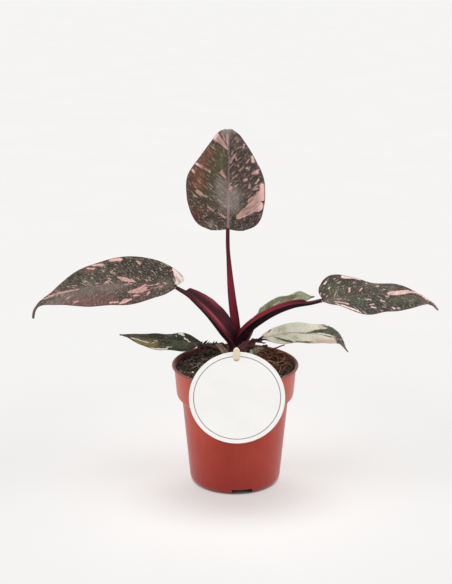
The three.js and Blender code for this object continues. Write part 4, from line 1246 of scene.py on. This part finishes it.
LEAF_LOOKS = {
    "blade_top": DARK_LEAF,
    "blade_left": dict(
        DARK_LEAF, ground="4a3d34", other="3f372a", mottle="2e2620", warm="6c4c45", cool="2e2620",
        dull="6c6059", mark="b88e87", light="d8aca6", fleck="c2b8a4", ember="a87068", rib="6a5048",
        rib_share=0.35,
    ),
    "blade_right": dict(
        DARK_LEAF, ground="433b31", other="3d3c33", mottle="2d2922", warm="55392f", cool="434736",
        dull="665d53", mark="d4b2aa", light="f4d4ce", fleck="b5ac98", ember="8a6a60", rib="6c4c46",
        rib_share=0.45,
    ),
    "blade_low_left": dict(
        DARK_LEAF, ground="212317", other="1e2115", mottle="181a11", warm="544634", cool="796f42",
        dull="50533f", mark="e2d6c4", light="e8ddd0", fleck="8f875a", ember="8a7a58", flecks=0.45,
        rib="5a5446", rib_tip="5c5a4c", under="565242",
    ),
    "blade_low_right": dict(
        DARK_LEAF, ground="f3eddc", other="f0e9d6", mottle="e6e1cb", warm="bd9c90", cool="3f2a2a",
        dull="a3a585", mark="40442c", light="4c5038", fleck="8f9070", ember="b08a7c", flecks=0.5,
        rib="a8998a", rib_tip="7c6e5e", rim="a58f80", under="a09478", broken=0.15,
    ),
    "blade_back": dict(
        DARK_LEAF, ground="64654a", other="646748", mottle="7c8062", warm="6e5a3e", cool="525a3a",
        dull="8b9279", mark="a9a48a", light="bdb8a0", fleck="a0a080", ember="7a6244", flecks=0.7,
        rib="9a8a74", rib_tip="9aa084", rim="a58a7c", under="6c6450",
    ),
}

# The looks of the old sheaths and the dead bits.
DRY_SHEATH = dict(
    DARK_LEAF, ground="4c1c22", other="431a1f", mottle="2f1215", mark="8a5e54", fleck="7a4a44",
    flecks=0.45, rib="4c2023", rib_tip="5a2c2c", rim="8a5c54", under="42201f", gloss=0.6,
)

SHEATH_LOOKS = {
    "sheath_right": DRY_SHEATH,
    "sheath_green": dict(
        DRY_SHEATH, ground="64604e", other="6a5c4e", mottle="76745e", fleck="a8a890", under="4e5240",
    ),
    "sheath_left": dict(
        DRY_SHEATH, ground="8a6e5c", other="7c6450", mottle="6a6a40", fleck="b5a08c", under="6e5444",
    ),
    "dead_strip": dict(
        DRY_SHEATH, ground="3a2826", other="3a2826", mottle="52403c", rim="8a7068", under="35231f",
    ),
    "dead_leaf": dict(
        DRY_SHEATH, ground="3c2a1e", other="3c2a1e", mottle="55442c", rim="5e4c38", under="2c1f18",
    ),
    "curled_bit": dict(
        DRY_SHEATH, ground="241815", other="241815", mottle="32231c", rim="3a2a22", under="1e1412",
    ),
}


def petiole_skin(name, body, blotch, channel, rim, inner=None, pale=0.0, streak=None):
    """Petiole skin: a dark glossy body, a bright channel and a line along the rims of its wings. With an
    inner colour, the channel is only bright on its left, and the right has the inner colour. streak gives
    the shares of the length where its brightness starts, is full and ends."""
    made = Material(name, Specular_IOR_Level=0.1)
    around, side, share = made.facts("around", "side", "share")
    place = made.place()
    lines = made.noise(made.vector(around * 40, share * 9), 1.5)
    cloud, fine = made.noise(place, 7, 3.0), made.noise(place, 0.7)
    outside = made.over(body, ((lines * 0.5 + cloud * 0.5).rise(0.4, 0.62), blotch))
    within = made.over(channel, (lines.rise(0.5, 0.7) * 0.4, rim))
    if streak:
        start, full, end = streak
        # the channel shows its red only along the streak's span; outside it the channel is dark
        glow = share.rise(start, full) * share.rise(end, full)
        within = made.over("3a141d", (glow * around.rise(0.4, 0.22), within))
        # painted highlight: pink down the middle of the channel along the span
        within = made.over(within, (glow * around.rise(0.2, 0.1) * 0.6, "a84a58"))
    if inner:
        across_wall = around.rise(0.27, 0.36) * share.rise(0.48, 0.64) * 0.8
        wall = made.over(inner, (lines.rise(0.5, 0.62) * 0.35, channel), (across_wall, rim))
        within = made.over(within, (side.rise(0.3, 0.65), wall))
    else:
        within = made.over(within, (around.rise(0.24, 0.42) * 0.85, outside))
    on_rim = (around - 0.447).size().rise(0.05, 0.012) * share.rise(0.05, 0.25)
    dots = made.cells(made.vector(around * 22, share * 60), 1.6).rise(0.16, 0.08)
    colour = made.over(
        within,
        (share.rise(0.6, 0.88) * 0.8, outside),
        (around.rise(0.42, 0.47), outside),
        (on_rim * 0.55, rim),
        (dots * 0.3, rim),
        # painted shade at the crown: darker towards the foot, and less so by pale
        (share.rise(0.34, 0.1) * (0.75 - pale), "2a1219"),
    )
    return made.done(colour, 0.3 + 0.14 * fine + 0.1 * lines, lines * 0.6 + fine * 0.3, 0.12, 0.5)


# The looks of the petioles.
RED_SKIN = dict(body="230f15", blotch="35171e", channel="6e1825", rim="85394a")

PETIOLE_LOOKS = {
    "petiole_right": dict(
        RED_SKIN, body="180b10", blotch="251116", channel="701a26", rim="86343e", inner="260e14",
    ),
    "petiole_left": dict(RED_SKIN, body="2a141b", rim="8a3340", inner="34111a", streak=(0.24, 0.46, 0.95)),
    "petiole_top": dict(RED_SKIN, body="32131b", blotch="45202a", channel="74222f", rim="4c1c26"),
    "petiole_back": dict(RED_SKIN, body="4a2e36", blotch="5c3c44"),
    "petiole_low_left": dict(RED_SKIN, body="2e211b", blotch="3d2c23", channel="43302a", rim="5e463c"),
    "petiole_low_right": dict(
        RED_SKIN, body="7e6a5e", blotch="938070", channel="9a8078", rim="ab9088", pale=0.4,
    ),
}


def stem_skin():
    made = Material("stem", Specular_IOR_Level=0.3)
    place = made.place()
    x, y, z = made.axes(place)
    cloud, fine = made.noise(place, 5, 3.0), made.noise(place, 0.8)
    rings = made.noise(made.vector(x * 0.2, y * 0.2, z), 1.4)
    colour = made.over("2c1016", (cloud.rise(0.4, 0.6), "42202a"), (rings.rise(0.58, 0.66) * 0.6, "6a4a40"))
    return made.done(colour, 0.4 + 0.2 * fine, rings * 0.6 + fine * 0.4, 0.3, 0.7)


def pot_plastic():
    """Thin moulded plastic: terracotta red with painted light and shade outside, dark inside with soil stains
    and painted shade.
    """
    made = Material("pot_plastic", Specular_IOR_Level=0.22, Sheen_Weight=0.34, Sheen_Roughness=0.4)
    place = made.place()
    x, y, z = made.axes(place)
    radius = (x * x + y * y) ** 0.5
    cloud, grain, soiled = made.noise(place, 34), made.noise(place, 0.55), made.noise(place, 3.5, 4.0, 0.65)
    flow = made.noise(made.vector(x * 0.5, y * 0.5, z * 0.03), 2.2, 3.0)
    dust = made.noise(place, 1.1, 4.0, 0.7).rise(0.6, 0.72) * made.noise(place, 20).rise(0.45, 0.65)
    lip = (z - POT_HEIGHT + 1).size().rise(2, 0.8) * radius.rise(56, 57)
    # The middle of the wall leans out by one line below the collar and by another one in it.
    collar = z.rise(82.4, 85.8)
    middle = (42.4 + z * 0.0908) * (1 - collar) + (47.9 + z * 0.083) * collar
    inside = (radius - middle).rise(0.3, -0.3) * z.rise(2, 3)
    colour = made.over(
        "9b3020",
        (cloud.rise(0.35, 0.65), "a33825"),
        # painted light: the collar lighter and greyer
        (z.rise(83, 87) * 0.3, "b8604e"),
        (flow.rise(0.5, 0.7) * 0.1, "b85f4a"),
        # painted shade: darker towards the foot
        (z.rise(75, 0) * 0.7, "82211a"),
        # painted shade in the crease under the collar
        ((z - 83).size().rise(4, 0.5) * 0.12, "842a20"),
        (dust * 0.16, "d8b8a8"),
        (lip * (0.5 + 0.4 * radius.rise(59.8, 59)), "6a3a36"),
        # inside: soil stains, and painted shade down in the pot
        (inside, made.over("7a382c", (soiled.rise(0.4, 0.6), "522820"))),
    )
    roughness = 0.42 + 0.12 * grain + 0.1 * dust + 0.25 * inside
    return made.done(colour, roughness, grain * 0.6 + flow * 0.4 + soiled * inside, 0.1, 0.5)


def peat():
    """Damp peat: crumbs of several browns, with mossy and reddish patches and a few light specks."""
    made = Material("peat", Specular_IOR_Level=0.25)
    place = made.place()
    x, y, z = made.axes(place)
    grain, cloud = made.noise(place, 0.6, 3.0, 0.7), made.noise(place, 9, 3.0)
    colour = made.over(
        "231a16",
        (cloud.rise(0.4, 0.62), "3d2f26"),
        (grain.rise(0.5, 0.66) * 0.85, "6e5d4f"),
        (x.rise(5, 40) * cloud.rise(0.3, 0.6) * 0.6, "4e2a1d"),
        (x.rise(-5, -35) * grain.rise(0.45, 0.6) * 0.4, "34361f"),
        (made.cells(place, 2.4).rise(0.16, 0.1) * 0.5, "9a8672"),
    )
    return made.done(colour, 0.8 + 0.15 * grain, grain * 0.6 + made.cells(place, 1.6) * 0.6, 0.8, 1.0)


def litter(name, dark, mid, light, speck=None):
    """Loose bits whose colour runs from dark to light by their tint."""
    made = Material(name, Specular_IOR_Level=0.25)
    tint, = made.facts("tint")
    grain = made.noise(made.place(), 0.7, 3.0, 0.7)
    colour = made.over(
        dark,
        (tint.rise(0.1, 0.6), mid),
        (tint.rise(0.6, 0.97), light),
        (tint.rise(0.965, 0.975), speck or light),
        (grain.rise(0.6, 0.4) * 0.45, "15100d"),
    )
    return made.done(colour, 0.75 + 0.2 * grain, grain, 0.3, 0.8)


def card():
    """White coated card with a thin printed ring near its rim."""
    made = Material("label_card", Specular_IOR_Level=0.35)
    place = made.place()
    x, y, z = made.axes(place)
    cx, cy, cz = LABEL["centre"]
    up = (z - cz) / math.cos(LABEL["lean"])
    radius = ((x - cx) * (x - cx) + up * up) ** 0.5
    fibre, cloud = made.noise(place, 0.5, 3.0, 0.65), made.noise(place, 26)
    ring = (radius - LABEL["radius"] * RING_AT).size().rise(0.5, 0.25) * y.rise(cy + 1.6, cy + 0.9)
    worn_edge = (radius - LABEL["radius"]).size().rise(0.5, 0.1) * fibre.rise(0.4, 0.7)
    colour = made.over(
        "ecebe9",
        (cloud.rise(0.35, 0.65), "e9e8e5"),
        (ring * (0.8 + 0.2 * fibre), "5a6266"),
        (worn_edge * 0.3, "cfc8be"),
    )
    return made.done(colour, 0.5 + 0.12 * fibre, fibre, 0.04, 0.4)


def pale_wood():
    """Thin birch stick: fine grain along it, dark end pores and a stained foot."""
    made = Material("pale_wood", Specular_IOR_Level=0.3)
    x, y, z = made.axes(made.place())
    along = z * math.cos(STICK["tilt"]) - y * math.sin(STICK["tilt"])
    grain = made.noise(made.vector(x * 3.2, along * 0.12, 0), 1.0, 4.0, 0.6, 0.4)
    pores = made.noise(made.vector(x * 9, along * 0.5, 3), 1.0)
    colour = made.over(
        "efe0ca",
        (grain.rise(0.35, 0.65), "e3d0ae"),
        (pores.rise(0.62, 0.72) * 0.45, "a07c52"),
        (z.rise(118, 112) * 0.6, "6a4f38"),
    )
    return made.done(colour, 0.62 + 0.15 * grain, grain * 0.5 + pores * 0.5, 0.1, 0.6)


def bark():
    made = Material("dry_bark", Specular_IOR_Level=0.2)
    place = made.place()
    cloud, fine = made.noise(place, 3, 4.0, 0.65), made.noise(place, 0.6, 3.0, 0.7)
    colour = made.over("42322a", (cloud.rise(0.38, 0.62), "7a6350"), (fine.rise(0.58, 0.7) * 0.6, "a38d76"))
    return made.done(colour, 0.85 + 0.1 * fine, cloud * 0.5 + fine * 0.5, 0.4, 0.9)


# ---------------------------------------------------------------- stage, lights and camera

def floor():
    """A wide pale floor, a hair below the foot. It glows, with painted light and shade round the pot."""
    plane = add("circle", "floor", vertices=96, radius=14, fill_type="NGON", location=(0, 0, -0.0001))
    made = Material("pale_floor", Roughness=0.75, Specular_IOR_Level=0.1, Emission_Strength=FLOOR_GLOW)
    place = made.place()
    x, y, z = made.axes(place)
    far = (x * x + y * y) ** 0.5
    # painted shadow in front of the pot, round a point 55 mm ahead of the axis
    front_shadow_distance = (x * x * 0.4 + (y + 55) * (y + 55)) ** 0.5
    # painted light: the glow is brighter near the pot than far away
    lit = made.over("fdf9f6", (far.rise(60, 280), "ebebea"))
    glow = made.over("c1b5b3", (front_shadow_distance.rise(0, 76), lit))
    first, second = FLOOR_COLOURS
    made.set("Base Color", made.over(first, (made.noise(place, 160).rise(0.3, 0.7), second)))
    # painted shade under the foot: no glow there
    made.set("Emission Color", made.over("000000", (far.rise(40, 43.6), glow)))
    plane.data.materials.append(made.data)


def world():
    made = bpy.data.worlds.new("soft_white")
    made.use_nodes = True
    background = made.node_tree.nodes["Background"]
    background.inputs["Color"].default_value = (1, 0.99, 0.985, 1)
    background.inputs["Strength"].default_value = WORLD_STRENGTH
    bpy.context.scene.world = made


def aimed(piece, way):
    """Turns a lamp or a camera to look along a way."""
    piece.rotation_euler = Vector(way).to_track_quat("-Z", "Y").to_euler()


def sun(name, way, angle, strength):
    lamp = bpy.data.lights.new(name, "SUN")
    lamp.angle = math.radians(angle)
    lamp.energy = strength
    aimed(placed(name, lamp), -Vector(way))


def camera():
    lens = bpy.data.cameras.new("camera")
    lens.sensor_width = 36
    lens.lens = CAMERA_LENS
    lens.clip_start = 0.01
    lens.clip_end = 60
    made = placed("camera", lens)
    made.location = Vector(CAMERA_AT) * MM
    aimed(made, Vector(CAMERA_TARGET) - Vector(CAMERA_AT))
    bpy.context.scene.camera = made


# ---------------------------------------------------------------- the plant

BLADE_SLOTS = {"blade_low_left": "blade_green", "blade_back": "blade_green", "blade_low_right": "blade_pale"}
for name, form in BLADES.items():
    cells = FINE_CELLS if len(MARKS[name].streaks) > MANY_STREAKS else BLADE_CELLS
    slot = BLADE_SLOTS.get(name, "blade")
    blade(name, form, leaf(name, **LEAF_LOOKS[name]), slot, cells, MARKS[name], name)
for name, spec in PETIOLES.items():
    petiole(name, spec, petiole_skin(name, **PETIOLE_LOOKS[name]))
for name, form in SHEATHS.items():
    blade(name, form, leaf(name, **SHEATH_LOOKS[name]), "sheath", SHEATH_CELLS, Marks(), name)
for name, form in SCRAPS.items():
    blade(name, form, leaf(name, **SHEATH_LOOKS[name]), "sheath", SCRAP_CELLS, Marks())
stem(stem_skin())
pot(pot_plastic())
soil(peat())
crumbs(litter("crumbs", "211915", "54463c", "84766a", "d8ccba"))

rng = random.Random(11)
coir = fibre_routes(rng, 230, (35, 12), 12, 24, 5.5) + fibre_routes(rng, 50, (18, -2), 12, 22, 3)
roots = fibre_routes(rng, 120, (-28, 4), 14, 20, 2.6)
moss = fibre_routes(rng, 130, (-30, 2), 12, 5, 2.4)
stalks, ragged = ([finer(route) for route in routes] for routes in (GREEN_STALKS, RAGGED_ENDS))
for name, slot, routes, thickness, *colours in (
    ("coir_fibres", "soil", coir, 0.6, "2c140f", "7e4834", "cfa382"),
    ("fine_roots", "soil", roots, 0.6, "2a201a", "6c5c4e", "bcae9c"),
    ("moss_bits", "soil", moss, 0.5, "23270f", "4a5026", "7d7f4a"),
    ("green_stalks", "sheath", stalks, 1.7, "7f8a62", "98a07a", "b0b592"),
    ("ragged_ends", "sheath", ragged, 1.5, "2e1013", "4a1b20", "6e342e"),
    ("dry_hairs", "sheath", dry_hairs(rng), 1.0, "2a1b16", "553c2e", "8a7452"),
):
    strands(name, litter(name, *colours), slot, routes, thickness)

label_disc(card())
label_stick(pale_wood())
dry_twig(bark())

floor()
world()
for name, settings in SUNS.items():
    sun(name, *settings)
camera()
bpy.context.scene.view_settings.view_transform = "Standard"
